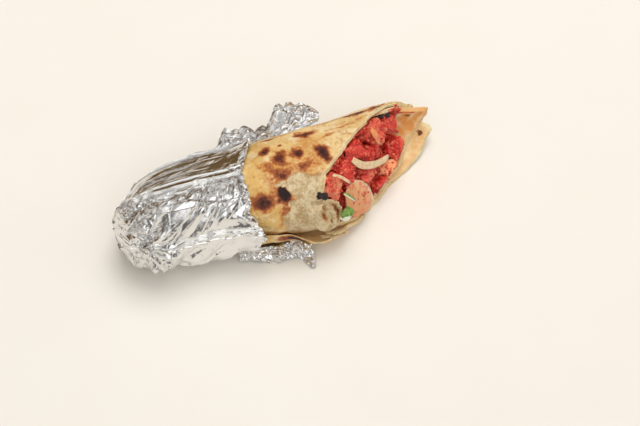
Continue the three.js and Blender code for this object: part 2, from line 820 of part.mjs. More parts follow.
function makeWrap() {
  const wrap = new THREE.Group();
  wrap.name = "paratha_wrap";
  const addNode = (name, solid, look) => {
    const mesh = new THREE.Mesh(geometryOf(solid), MATERIALS[look]);
    mesh.name = name;
    wrap.add(mesh);
  };
  const bread = FOLDS.reduce(
    (solid, fold) => solid.add(makeFold(fold, 0)),
    makeBread(),
  );
  addNode("paratha", mainBody(bread), "bread");
  addNode("foil_wrap", mainBody(makeSleeve().add(makeCollar())), "foil");
  const room = makeRoom();
  // Each piece keeps clear of the folds and of those already in place
  let taken = FOLDS.map((fold) => makeFold(fold, CLEARANCE)).reduce(
    (left, fold) => left.add(fold),
  );
  const place = (name, solid, grown, look) => {
    addNode(name, mainBody(solid.intersect(room).subtract(taken)), look);
    taken = taken.add(grown);
  };
  for (const [name, ribbon] of Object.entries(RIBBONS)) {
    place(
      name,
      makeRibbon(ribbon, 0),
      makeRibbon(ribbon, CLEARANCE),
      name.startsWith("herb") ? "herb" : "onion",
    );
  }
  const thin = taken;
  CHUNKS.forEach((chunk, n) => {
    place(
      `chicken_${String(n + 1).padStart(2, "0")}`,
      makeChunk(chunk, n + 1, 0),
      makeChunk(chunk, n + 1, CLEARANCE),
      "chicken",
    );
  });
  const beds = CHUNKS.map((chunk, n) =>
    makeChunk(chunk, n + 1, 6 * CLEARANCE, 8),
  );
  const core = beds.reduce(
    (left, bed) => left.subtract(bed),
    makeCore(room).subtract(thin),
  );
  addNode("masala_filling", mainBody(core), "masala");
  const box = new THREE.Box3().setFromObject(wrap);
  const middle = box.getCenter(new THREE.Vector3());
  for (const mesh of wrap.children)
    mesh.geometry.translate(-middle.x, -middle.y, -box.min.z);
  return wrap;
}

export default makeWrap();
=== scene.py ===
import json
import bmesh
import bpy
import numpy as np
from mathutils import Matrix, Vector
from mathutils.bvhtree import BVHTree
from mathutils.geometry import delaunay_2d_cdt

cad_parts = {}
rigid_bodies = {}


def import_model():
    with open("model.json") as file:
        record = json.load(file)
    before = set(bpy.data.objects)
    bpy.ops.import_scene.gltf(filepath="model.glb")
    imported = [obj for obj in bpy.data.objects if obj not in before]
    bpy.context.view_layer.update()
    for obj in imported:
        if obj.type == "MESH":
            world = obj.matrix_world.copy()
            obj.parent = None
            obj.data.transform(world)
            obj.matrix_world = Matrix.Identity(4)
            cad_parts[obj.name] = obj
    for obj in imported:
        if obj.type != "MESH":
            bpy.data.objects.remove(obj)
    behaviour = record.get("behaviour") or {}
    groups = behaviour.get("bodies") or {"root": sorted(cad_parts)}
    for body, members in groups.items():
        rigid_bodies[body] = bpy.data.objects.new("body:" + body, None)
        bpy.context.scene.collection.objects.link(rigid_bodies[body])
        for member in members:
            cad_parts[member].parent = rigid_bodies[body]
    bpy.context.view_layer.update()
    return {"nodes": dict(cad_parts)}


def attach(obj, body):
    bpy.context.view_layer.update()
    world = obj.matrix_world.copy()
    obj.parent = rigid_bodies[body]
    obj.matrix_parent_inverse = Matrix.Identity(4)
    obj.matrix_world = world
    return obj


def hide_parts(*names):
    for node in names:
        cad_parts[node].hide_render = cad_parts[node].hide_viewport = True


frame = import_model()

# Everything below is laid out in millimetres as the roll is: x = 0 at the middle of the cut, +x towards it,
# y to the back, z up from the floor. layoutShift carries that into the frame.
layoutShift = np.array([44.389, -4.248, 0.0])


def toFrame(points):
    return (points + layoutShift) / 1000


def toLayout(points):
    return np.asarray(points) * 1000 - layoutShift


# small maths

def smooth(start, end, value):
    t = np.clip((value - start) / (end - start), 0, 1)
    return t * t * (3 - 2 * t)


def bump(value, middle, width):
    return 1 - smooth(0, width, np.abs(value - middle))


def mix(a, b, t):
    return a + (b - a) * t


def unit(vector):
    return np.asarray(vector, float) / np.linalg.norm(vector)


def turned(degrees):
    return np.cos(np.radians(degrees)), np.sin(np.radians(degrees))


tableSize = 32  # the random lattices repeat after so many cells
lumpTable = np.random.default_rng(5).uniform(-1, 1, (tableSize,) * 3)
grainTable = np.random.default_rng(6).uniform(0.05, 0.95, (tableSize,) * 3 + (3,))


def lookUp(table, cell):
    return table[tuple(np.moveaxis(cell % tableSize, -1, 0))]


def lumps(points, size, octaves, seed):
    # soft random lumps about size mm across, -1 to 1, finer ones added by octaves
    total = 0
    for octave in range(octaves):
        p = points * 2 ** octave / size + 7.3 * seed + 3.1 * octave
        cell = np.floor(p).astype(int)
        f = p - cell
        f = f * f * (3 - 2 * f)
        value = 0
        for corner in np.ndindex(2, 2, 2):
            weight = np.prod(np.where(corner, f, 1 - f), axis=-1)
            value = value + weight * lookUp(lumpTable, cell + corner)
        total = total + value / 2 ** octave
    return total


def grains(points, size, seed):
    # rounded grains about size mm across: 1 in the middle of each, falling to 0 in the clefts between them
    p = points / size + 5.7 * seed
    cell = np.floor(p).astype(int)
    nearest = np.full(len(p), 9.0)
    for step in np.ndindex(3, 3, 3):
        near = cell + step - 1
        spot = near + lookUp(grainTable, near)
        nearest = np.minimum(nearest, np.linalg.norm(p - spot, axis=-1))
    return np.clip(1.15 - 1.25 * nearest, 0, 1)


def creases(us, vs, spacing, seed, period=0, stretch=1, turn=0):
    # heights -1 to 1 over flat facets about spacing mm wide that meet in sharp creases;
    # stretched ones run along us, turned by so many degrees
    rng = np.random.default_rng(seed)
    low = np.array([us[0], vs[0]]) - 2 * spacing
    high = np.array([us[-1], vs[-1]]) + 2 * spacing
    if period:
        low[0], high[0] = 0, period
    count = int(np.prod(high - low) / spacing ** 2)
    spots = rng.uniform(low, high, (count, 2))
    heights = rng.uniform(-1, 1, count)
    if period:
        spots = np.vstack([spots + [k * period, 0] for k in (-1, 0, 1)])
        heights = np.tile(heights, 3)
        keep = (spots[:, 0] > -3 * spacing) & (spots[:, 0] < period + 3 * spacing)
        spots, heights = spots[keep], heights[keep]
    cos, sin = turned(turn)
    lay = np.array([[cos, sin], [-sin, cos]]) * [[stretch ** -0.5], [stretch ** 0.5]]
    flatSpots = [Vector(lay @ spot) for spot in spots]
    placed, _, facets, origins, _, _ = delaunay_2d_cdt(flatSpots, [], [], 0, 1e-7)
    heights = np.array([heights[origin[0]] for origin in origins])
    spots = np.linalg.solve(lay, np.array([v[:] for v in placed]).T).T
    result = np.zeros((len(us), len(vs)))
    for corners in facets:
        a, b, c = facet = spots[list(corners)]
        i0, i1 = np.searchsorted(us, [facet[:, 0].min(), facet[:, 0].max()])
        j0, j1 = np.searchsorted(vs, [facet[:, 1].min(), facet[:, 1].max()])
        if i0 == i1 or j0 == j1:
            continue
        u, v = us[i0:i1, None], vs[None, j0:j1]
        area = (b[1] - c[1]) * (a[0] - c[0]) + (c[0] - b[0]) * (a[1] - c[1])
        wa = ((b[1] - c[1]) * (u - c[0]) + (c[0] - b[0]) * (v - c[1])) / area
        wb = ((c[1] - a[1]) * (u - c[0]) + (a[0] - c[0]) * (v - c[1])) / area
        wc = 1 - wa - wb
        ha, hb, hc = heights[list(corners)]
        inside = (wa >= 0) & (wb >= 0) & (wc >= 0)
        result[i0:i1, j0:j1][inside] = (wa * ha + wb * hb + wc * hc)[inside]
    return result


# shader maths

class Wire:
    def __init__(self, tree, socket=None):
        self.tree = tree
        self.socket = socket

    def node(self, kind, settings=None, values=None, out=0):
        made = self.tree.nodes.new(kind)
        for key, value in (settings or {}).items():
            if key == "stops":
                while len(made.color_ramp.elements) < len(value):
                    made.color_ramp.elements.new(0.5)
                for element, (position, colour) in zip(made.color_ramp.elements, value):
                    element.position = position
                    element.color = (*colour, 1)
            else:
                setattr(made, key, value)
        for key, value in (values or {}).items():
            if isinstance(value, Wire):
                self.tree.links.new(value.socket, made.inputs[key])
            else:
                made.inputs[key].default_value = value
        return Wire(self.tree, made.outputs[out])

    def maths(self, operation, a, b):
        return self.node("ShaderNodeMath", {"operation": operation}, {0: a, 1: b})

    def __add__(self, other):
        return self.maths("ADD", self, other)

    __radd__ = __add__

    def __sub__(self, other):
        return self.maths("SUBTRACT", self, other)

    def __rsub__(self, other):
        return self.maths("SUBTRACT", other, self)

    def __mul__(self, other):
        return self.maths("MULTIPLY", self, other)

    __rmul__ = __mul__

    def between(self, low, high):
        # 0 at low, 1 at high, eased
        return self.node("ShaderNodeMapRange", {"interpolation_type": "SMOOTHSTEP"},
                         {"Value": self, "From Min": low, "From Max": high})

    def colours(self, stops):
        return self.node("ShaderNodeValToRGB", {"stops": stops}, {"Fac": self})

    def blend(self, first, second):
        # first where this mask is 0, second where it is 1
        values = {0: self}
        for key, colour in ((6, first), (7, second)):
            values[key] = colour if isinstance(colour, Wire) else (*colour, 1)
        return self.node("ShaderNodeMix", {"data_type": "RGBA"}, values, 2)


def srgb(code):
    # linear colour from a hex code
    channels = np.array([int(code[k:k + 2], 16) for k in (0, 2, 4)]) / 255
    return tuple(np.where(channels > 0.04045, ((channels + 0.055) / 1.055) ** 2.4, channels / 12.92))


def tonesOf(colours):
    return {key: srgb(code) if isinstance(code, str) else tuple(map(srgb, code))
            for key, code in colours.items()}


class Finish:
    # one material: its shader, a place to start wires from and the noises it is mixed from
    def __init__(self, name, **constants):
        self.material = bpy.data.materials.new(name)
        self.material.use_nodes = True
        self.tree = self.material.node_tree
        self.shader = self.tree.nodes["Principled BSDF"]
        for key, value in constants.items():
            self.shader.inputs[key.replace("_", " ")].default_value = value
        self.wire = Wire(self.tree)
        self.place = self.wire.node("ShaderNodeTexCoord", out="Object")

    def noise(self, size, detail=3.0, roughness=0.55):
        # 0 to 1, with features about size mm across
        return self.wire.node("ShaderNodeTexNoise", None, {
            "Vector": self.place, "Scale": 1000 / size, "Detail": detail, "Roughness": roughness})

    def cells(self, size):
        # 0 in the middle of each cell, rising towards its sides
        return self.wire.node("ShaderNodeTexVoronoi", None, {"Vector": self.place, "Scale": 1000 / size})

    def attribute(self, name):
        return self.wire.node("ShaderNodeAttribute", {"attribute_name": name}, out="Fac")

    def feed(self, **sockets):
        for key, wire in sockets.items():
            self.tree.links.new(wire.socket, self.shader.inputs[key.replace("_", " ")])

    def relief(self, height, depth):
        # height is 0 to 1, depth in mm
        bumped = self.wire.node("ShaderNodeBump", None, {"Height": height, "Distance": depth / 1000})
        self.tree.links.new(bumped.socket, self.shader.inputs["Normal"])


# pieces

def gridFaces(rows, columns, wrapped=False, first=0):
    index = first + np.arange(rows * columns).reshape(rows, columns)
    if wrapped:
        index = np.vstack([index, index[:1]])
    return np.stack([index[:-1, :-1], index[1:, :-1], index[1:, 1:], index[:-1, 1:]], -1).reshape(-1, 4)


def gridNormals(points, wrapped=False):
    if wrapped:
        alongRows = np.roll(points, -1, 0) - np.roll(points, 1, 0)
    else:
        alongRows = np.gradient(points, axis=0)
    normals = np.cross(alongRows, np.gradient(points, axis=1))
    return normals / (np.linalg.norm(normals, axis=-1, keepdims=True) + 1e-9)


def addPiece(name, points, faces, finish, slotName, nodes, attributes=None, faceted=False):
    mesh = bpy.data.meshes.new(name)
    mesh.from_pydata(toFrame(points.reshape(-1, 3)).tolist(), [], faces)
    mesh.update()
    for key, values in (attributes or {}).items():
        layer = mesh.attributes.new(key, "FLOAT", "POINT")
        layer.data.foreach_set("value", np.ravel(values).astype(np.float32))
    if faceted:
        mesh.shade_flat()
    else:
        mesh.shade_smooth()
    mesh.materials.append(finish.material)
    piece = bpy.data.objects.new(name, mesh)
    bpy.context.collection.objects.link(piece)
    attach(piece, "root")
    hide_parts(*nodes)
    print(name, sum(len(face) - 2 for face in faces), "triangles")
    return piece


def thinSheet(points, normals, thickness):
    # both faces of a thin sheet over a grid of points, and its edge
    rows, columns = points.shape[:2]
    both = np.concatenate([(points + normals * thickness / 2).reshape(-1, 3),
                           (points - normals * thickness / 2).reshape(-1, 3)])
    half = rows * columns
    faces = gridFaces(rows, columns).tolist()
    faces += gridFaces(rows, columns, first=half)[:, ::-1].tolist()
    index = np.arange(half).reshape(rows, columns)
    edge = np.concatenate([index[:, 0], index[-1, 1:], index[::-1, -1][1:], index[0, ::-1][1:]])
    faces += np.stack([edge[:-1], edge[:-1] + half, edge[1:] + half, edge[1:]], -1).tolist()
    return both, faces


def bothFaces(values):
    # a value for each point of a thin sheet, the same on its two faces
    return np.tile(np.ravel(values), 2)


def joined(shapes):
    # several shapes as one: all their points, and their faces counted on
    places, faces = [], []
    for points, shapeFaces in shapes:
        faces += (np.array(shapeFaces) + sum(map(len, places))).tolist()
        places.append(points)
    return np.concatenate(places), faces


# the roll

roll = {
    "startX": -104, "halfWidth": 29, "halfHeight": 25.5, "roundRadius": 30,
    "flareFromX": -64, "flareWidth": (5, 40), "flareHeight": (2.5, 20),  # how much, and where it is full
    "endTaper": 6.5, "endTaperLength": 26,
    "thickness": 2.4, "layerGap": 0.5,
    "outerEdge": 205, "innerEdge": 755, "tuckFrom": 505, "tuckTo": 557,
    "flatDepth": 1.6, "lift": 1.1, "liftGoneX": (-28, -10),
    "unevenness": 0.7, "waves": ((1, 3, 0.06, 0), (0.6, 5, -0.09, 1)),  # share, turns, twist along it, start
    "cutX": 2, "cutSlope": 1.04, "cutLean": 0.53,
    "cutRipple": 1.1, "cutWaves": ((1, 5, 1), (0.6, 11, 2)),  # share, turns, start
    # where the cut edge reaches out or is torn back: angle, width before and after it, reach
    "innerTip": (712, 38, 24, 11), "outerTip": (320, 60, 22, 10.5), "tornBack": (530, 34, 34, -3),
    "peelAngle": (206, 44), "peelX": (-31, 20), "peelReach": 4.6,
    # inside the foil it is pressed flat between long ridges: angle and height of each
    "ridges": [(-20, 0.0), (35, 0.4), (90, -2.6), (111, -3.4), (160, 0.4), (206, -0.8), (240, 0.0)],
    "flatness": 0.85, "rounding": 7, "pressedX": (-52, -76),
    "squeezed": 0.8, "squeezedX": (-50, -62),
}


def rollTaper(x):
    return roll["endTaper"] * smooth(roll["startX"] + roll["endTaperLength"], roll["startX"], x)


def rollHalfWidth(x):
    flare, fullX = roll["flareWidth"]
    return roll["halfWidth"] + flare * smooth(roll["flareFromX"], fullX, x) - rollTaper(x)


def rollHalfHeight(x):
    flare, fullX = roll["flareHeight"]
    return roll["halfHeight"] + flare * smooth(roll["flareFromX"], fullX, x) - rollTaper(x)


def rollLift(x):
    return roll["lift"] * (1 - smooth(*roll["liftGoneX"], x))


def rollAxisZ(x):
    return rollLift(x) + rollHalfHeight(x) + rollTaper(x) - roll["flatDepth"]


def flatOut(degrees):
    # how far out the flats between the ridges lie from the round that the ridges stand on
    ridges, radius = roll["ridges"], roll["roundRadius"]
    at = (degrees - ridges[0][0]) % 360 + ridges[0][0]
    out = 0 * at
    for (ridge, height), (following, nextHeight) in zip(ridges, ridges[1:]):
        near, far = radius + height, radius + nextHeight
        past, left = np.radians(at - ridge), np.radians(following - at)
        chord = near * far * np.sin(past + left) / (far * np.sin(past) + near * np.sin(left) + 1e-9)
        out = np.where((at >= ridge) & (at < following), chord - radius, out)
    return roll["flatness"] * out


def pressedOut(degrees, x):
    rounding = roll["rounding"]
    rounded = (flatOut(degrees - rounding) + 2 * flatOut(degrees) + flatOut(degrees + rounding)) / 4
    return rounded * smooth(*roll["pressedX"], x)


def unevenness(degrees, x):
    angle = np.radians(degrees)
    return roll["unevenness"] * sum(share * np.sin(turns * angle + twist * x + start)
                                    for share, turns, twist, start in roll["waves"])


def rollPoint(x, degrees, inside, lifted=0.0):
    cos, sin = turned(degrees)
    grown = unevenness(degrees, x) + pressedOut(degrees, x) - inside + lifted
    y = (rollHalfWidth(x) + grown) * cos
    z = rollAxisZ(x) + (rollHalfHeight(x) + grown) * sin
    z = np.maximum(z, rollLift(x) + inside)
    return np.stack(np.broadcast_arrays(x, y, z), -1)


def cutPlaneX(y, aboveAxis):
    return roll["cutX"] + roll["cutSlope"] * y - roll["cutLean"] * aboveAxis


def breadEndX(degrees, inside):
    x = np.full(np.shape(degrees), float(roll["cutX"]))
    for _ in range(6):  # it settles onto the cut
        p = rollPoint(x, degrees, inside)
        x = mix(x, cutPlaneX(p[..., 1], p[..., 2] - rollAxisZ(x)), 0.7)
    angle = np.radians(degrees)
    x = x + roll["cutRipple"] * sum(share * np.sin(turns * angle + start)
                                    for share, turns, start in roll["cutWaves"])
    for middle, before, after, reach in (roll["innerTip"], roll["outerTip"], roll["tornBack"]):
        x = x + reach * bump(degrees, middle, np.where(degrees < middle, before, after))
    return x


def layerInside(degrees):
    return (roll["thickness"] + roll["layerGap"]) * smooth(roll["tuckFrom"], roll["tuckTo"], degrees)


def ring(degrees, climb=0.0):
    # a circle about as big as the roll, for noise that runs round it
    cos, sin = turned(degrees)
    return np.stack([cos * roll["roundRadius"], sin * roll["roundRadius"], degrees * climb], -1)


cutNormal = unit((1, -roll["cutSlope"], roll["cutLean"]))
outward = unit((-0.132, -0.498, 0.857))  # up and out of the mouth


def mouthPoint(across, above, proud=0.0):
    axisZ = rollAxisZ(np.float64(roll["cutX"]))
    onCut = np.stack(np.broadcast_arrays(cutPlaneX(across, above), across, axisZ + above), -1)
    return onCut + np.asarray(proud)[..., None] * outward / (outward @ cutNormal)


print("roll laid out")


# camera, floor and light

view = {
    "distance": 830, "frameWidth": 352, "imageSize": (640, 426), "sensorWidth": 36,
    "middlePixel": (365, 168.7),  # where the middle of the cut lies
    "right": (0.967, -0.255, 0), "back": (-0.1313, -0.498, 0.8575),  # the image's right, and towards the eye
}


def makeCamera():
    camera = bpy.data.objects.new("camera", bpy.data.cameras.new("camera"))
    bpy.context.collection.objects.link(camera)
    right, back = unit(view["right"]), unit(view["back"])
    up = np.cross(back, right)
    width, height = view["imageSize"]
    column, row = view["middlePixel"]
    pixel = view["frameWidth"] / width
    target = mouthPoint(0.0, 0.0) - right * (column - width / 2) * pixel + up * (row - height / 2) * pixel
    camera.location = toFrame(target + back * view["distance"])
    camera.rotation_euler = Vector(-back).to_track_quat("-Z", "Y").to_euler()
    camera.data.sensor_width = view["sensorWidth"]
    camera.data.lens = view["sensorWidth"] * view["distance"] / view["frameWidth"]
    camera.data.clip_start = 0.01
    bpy.context.scene.camera = camera


studio = {
    "floorColours": ("EFEAE1", "ECE6DA"), "floorHalf": 3, "skyStrength": 1.0,
    "behind": "6C5230", "frontLow": "5A5654", "frontFrom": (0.4, -0.4),
    "overhead": "C3C1BF", "overheadFrom": (0.45, 0.9),
    # soft bright patches of the sky: where, how wide in degrees, how bright
    "glows": [((-0.1, -0.62, 0.77), 36, 1.75), ((0.1, -0.9, 0.42), 22, 1.1), ((0.75, -0.1, 0.65), 40, 0.9),
              ((-0.75, -0.35, 0.55), 26, 0.7), ((0.1, -0.2, 0.97), 26, 1.5)],
    "lights": [  # place in metres, size in metres, watts
        ((0.3, 0.5, 1.7), 1.0, 16.5),
    ],
}


def makeStudio():
    floor = Finish("pale floor", Roughness=0.6)
    grain = floor.noise(60)
    floor.feed(Base_Color=grain.blend(*map(srgb, studio["floorColours"])))
    mesh = bpy.data.meshes.new("floor")
    half = studio["floorHalf"]
    corners = [(-half, -half, 0), (half, -half, 0), (half, half, 0), (-half, half, 0)]
    mesh.from_pydata(corners, [], [(0, 1, 2, 3)])
    mesh.materials.append(floor.material)
    plane = bpy.data.objects.new("floor", mesh)
    bpy.context.collection.objects.link(plane)

    world = bpy.data.worlds.new("studio")
    world.use_nodes = True
    bpy.context.scene.world = world
    sky = Wire(world.node_tree)
    direction = sky.node("ShaderNodeTexCoord", out="Generated")
    back, up = [sky.node("ShaderNodeSeparateXYZ", None, {0: direction}, axis) for axis in "YZ"]
    # brown and dark behind, grey in front and overhead, with soft bright patches
    colour = back.between(*studio["frontFrom"]).blend(srgb(studio["behind"]), srgb(studio["frontLow"]))
    colour = up.between(*studio["overheadFrom"]).blend(colour, srgb(studio["overhead"]))
    for towards, width, brightness in studio["glows"]:
        facing = sky.node("ShaderNodeVectorMath", {"operation": "DOT_PRODUCT"},
                          {0: direction, 1: tuple(unit(towards))}, "Value")
        colour = facing.between(np.cos(np.radians(width)), 1.0).blend(colour, (brightness,) * 3)
    shader = world.node_tree.nodes["Background"]
    world.node_tree.links.new(colour.socket, shader.inputs["Color"])
    shader.inputs["Strength"].default_value = studio["skyStrength"]

    for number, (place, size, watts) in enumerate(studio["lights"]):
        lamp = bpy.data.lights.new(f"softbox {number + 1}", "AREA")
        lamp.size = size
        lamp.energy = watts
        softbox = bpy.data.objects.new(lamp.name, lamp)
        softbox.location = place
        softbox.visible_glossy = False
        softbox.rotation_euler = Vector(place).to_track_quat("Z", "Y").to_euler()
        bpy.context.collection.objects.link(softbox)
    bpy.context.scene.view_settings.view_transform = "Standard"


makeCamera()
makeStudio()
print("camera, floor and light set")


# bread

bread = {
    "columns": 330, "startX": -72, "hiddenRows": 4, "shownRows": 118, "hiddenX": -68, "edgeRows": 4,
    "rowEasing": 0.92, "floorGap": 0.05, "sharpAngle": 60, "endRipple": (2, 0.4),
    "layerTeeth": (3, 0.7), "layerStep": 0.3,
    "ragged": ((6, 0.9), (2.4, 0.6), (1.1, 0.35)),  # size of a tooth at the cut and how far it reaches
    "blisters": ((9, 0.45), (3.5, 0.3), (1.5, 0.12)), "edgeFade": (0.2, 1.8),
    "foldSpacing": 3.6, "foldSpan": 14, "foldHeight": 0.8, "foldedAngle": (408, 32),
    "freeEdge": 0.35, "freeEdgeAngle": (205, 218),  # the free edge thins to this share
    "lipRise": 24, "lipGoneX": (-50, -28), "lipAngle": (205, 262),  # the free edge lies higher near the foil
    "tearLine": (-46, 2.5), "tearTop": 108, "tearPastTuck": 8, "tearTongue": (474, 5, 10),
    "tearRagged": (9, 3.5), "tearDepth": 0.7, "tearRough": (1.6, 0.28),
    "tearFade": ((-0.4, 0.6), (-1.0, 1.5)),  # along the roll and round it
    # sauce inside, near the cut: from which x, round which angle and how far from the edge
    "soakedX": (-20, 30), "soakedTip": ((712, 40), (4, 16)), "soakedReach": 12, "soakedFrom": 600,
    "edgeSoaked": (715, 45), "smear": ((735, 26), (3, 10)),
    # dark spots at the tips: angle and width round the roll, the same from the cut edge
    "tipSpots": [(322, 6, 5, 2.8), (717, 7, 10, 3.5)],
    "markWobble": (5, 0.55), "markFade": 1.9, "charDepth": 0.25,
    "perDegree": 0.5,  # millimetres round the roll for a degree
    # griddle marks: x, angle round the roll, half length along it, half width round it, tilt, darkness
    "char": [
        (-52, 73, 2.8, 3.4, 0, 1.1), (-46, 85, 5.2, 4.6, 20, 0.95), (-36.5, 84, 3.6, 3.8, 0, 1.0),
        (-21, 94, 2.8, 6.6, -25, 1.05), (-34, 100, 4.2, 3.2, 0, 0.7), (-46, 105, 3.6, 6.2, -35, 0.85),
        (-53, 91, 5.0, 3.4, 10, 0.5), (-46, 126, 4.4, 5.4, 40, 1.3), (-59, 129, 4.8, 5.0, 0, 0.95),
        (-31, 137, 2.2, 3.4, 30, 1.4), (-46, 191, 6.0, 4.6, 0, 1.2), (-43, 67, 1.0, 1.0, 0, 0.9),
        (-28, 61, 5.4, 1.8, 15, 0.95), (-46, 45, 6.0, 1.4, 5, 0.8), (-40, 40, 5.0, 1.4, -5, 0.7),
        (2, 42, 9.0, 2.4, 5, 0.9), (17, 41, 7.0, 2.2, 0, 0.95), (-16, 48, 6.0, 1.4, 0, 0.6),
        (-18, 72, 7.0, 0.9, -12, 0.36), (-8, 62, 8.0, 0.9, -8, 0.36), (-26, 58, 6.0, 0.9, 20, 0.45),
        (-4, 78, 5.0, 0.8, 25, 0.3), (6, 54, 7.0, 0.8, -10, 0.36),
        (-52, 118, 4.0, 6.0, 30, 0.4), (-44, 94, 12.0, 7.0, 0, 0.3), (-28, 99, 8.0, 6.0, 0, 0.32),
        (-30, 72, 9.0, 5.0, 0, 0.18), (-48, 146, 3.0, 9.0, 15, 0.42), (-44, 168, 2.4, 9.0, 0, 0.4),
        # on the far side and below, which the griddle marked in the same way
        (-40, 330, 5.0, 4.0, 10, 0.8), (-10, 345, 4.0, 5.0, 30, 0.9), (10, 10, 4.5, 4.0, 0, 0.8),
        (-55, 10, 5.0, 4.0, 20, 0.9), (-25, 15, 3.0, 4.0, 0, 0.7), (25, 350, 3.0, 5.0, 0, 0.8),
        (-20, 285, 5.0, 5.0, 0, 0.9), (5, 300, 4.0, 4.0, 0, 0.7),
    ],
    "colours": {
        "dough": ("E0BA76", "EBD2A0"), "tan": "D4A960", "toasted": "C08A48", "pale": "EFDCB2",
        "freckles": "A86C35", "specks": "6E4220", "flaked": ("DCC8A2", "B89A6C"), "pits": "8A6F49",
        "tornEdge": "B07840", "cutEdge": "EBD5A8", "soakedEdge": "E0A058", "inside": ("F0DAAA", "E2BC80"),
        "insideFreckles": "C08A4C", "soaked": "E2984C", "smear": "D4452F",
    },
    # the marks darken from tan through red-brown to black: between which heats, how strongly, colour
    "heats": [(0.04, 0.34, 0.85, "C98443"), (0.26, 0.52, 0.9, "9C5230"), (0.5, 0.82, 1.0, "5E2E20"),
              (0.84, 1.12, 1.0, "2A1815")],
    "spotHeats": [(0.25, 0.5, 0.8, "B06A34"), (0.5, 0.75, 0.9, "5A3420")],
}


def markBread(points, x, degrees):
    # how dark each point is from the griddle, in marks with ragged edges
    size, reach = bread["markWobble"]
    wobble = reach * lumps(points, size, 3, 2)
    dark = np.zeros(points.shape[:-1])
    for markX, angle, halfLength, halfWidth, tilt, darkness in bread["char"]:
        along = x - markX
        around = ((degrees - angle + 180) % 360 - 180) * bread["perDegree"]
        cos, sin = turned(tilt)
        far = np.hypot((along * cos + around * sin) / halfLength, (around * cos - along * sin) / halfWidth)
        dark = np.maximum(dark, darkness * (1 - smooth(0.0, bread["markFade"], far + wobble)))
    return dark


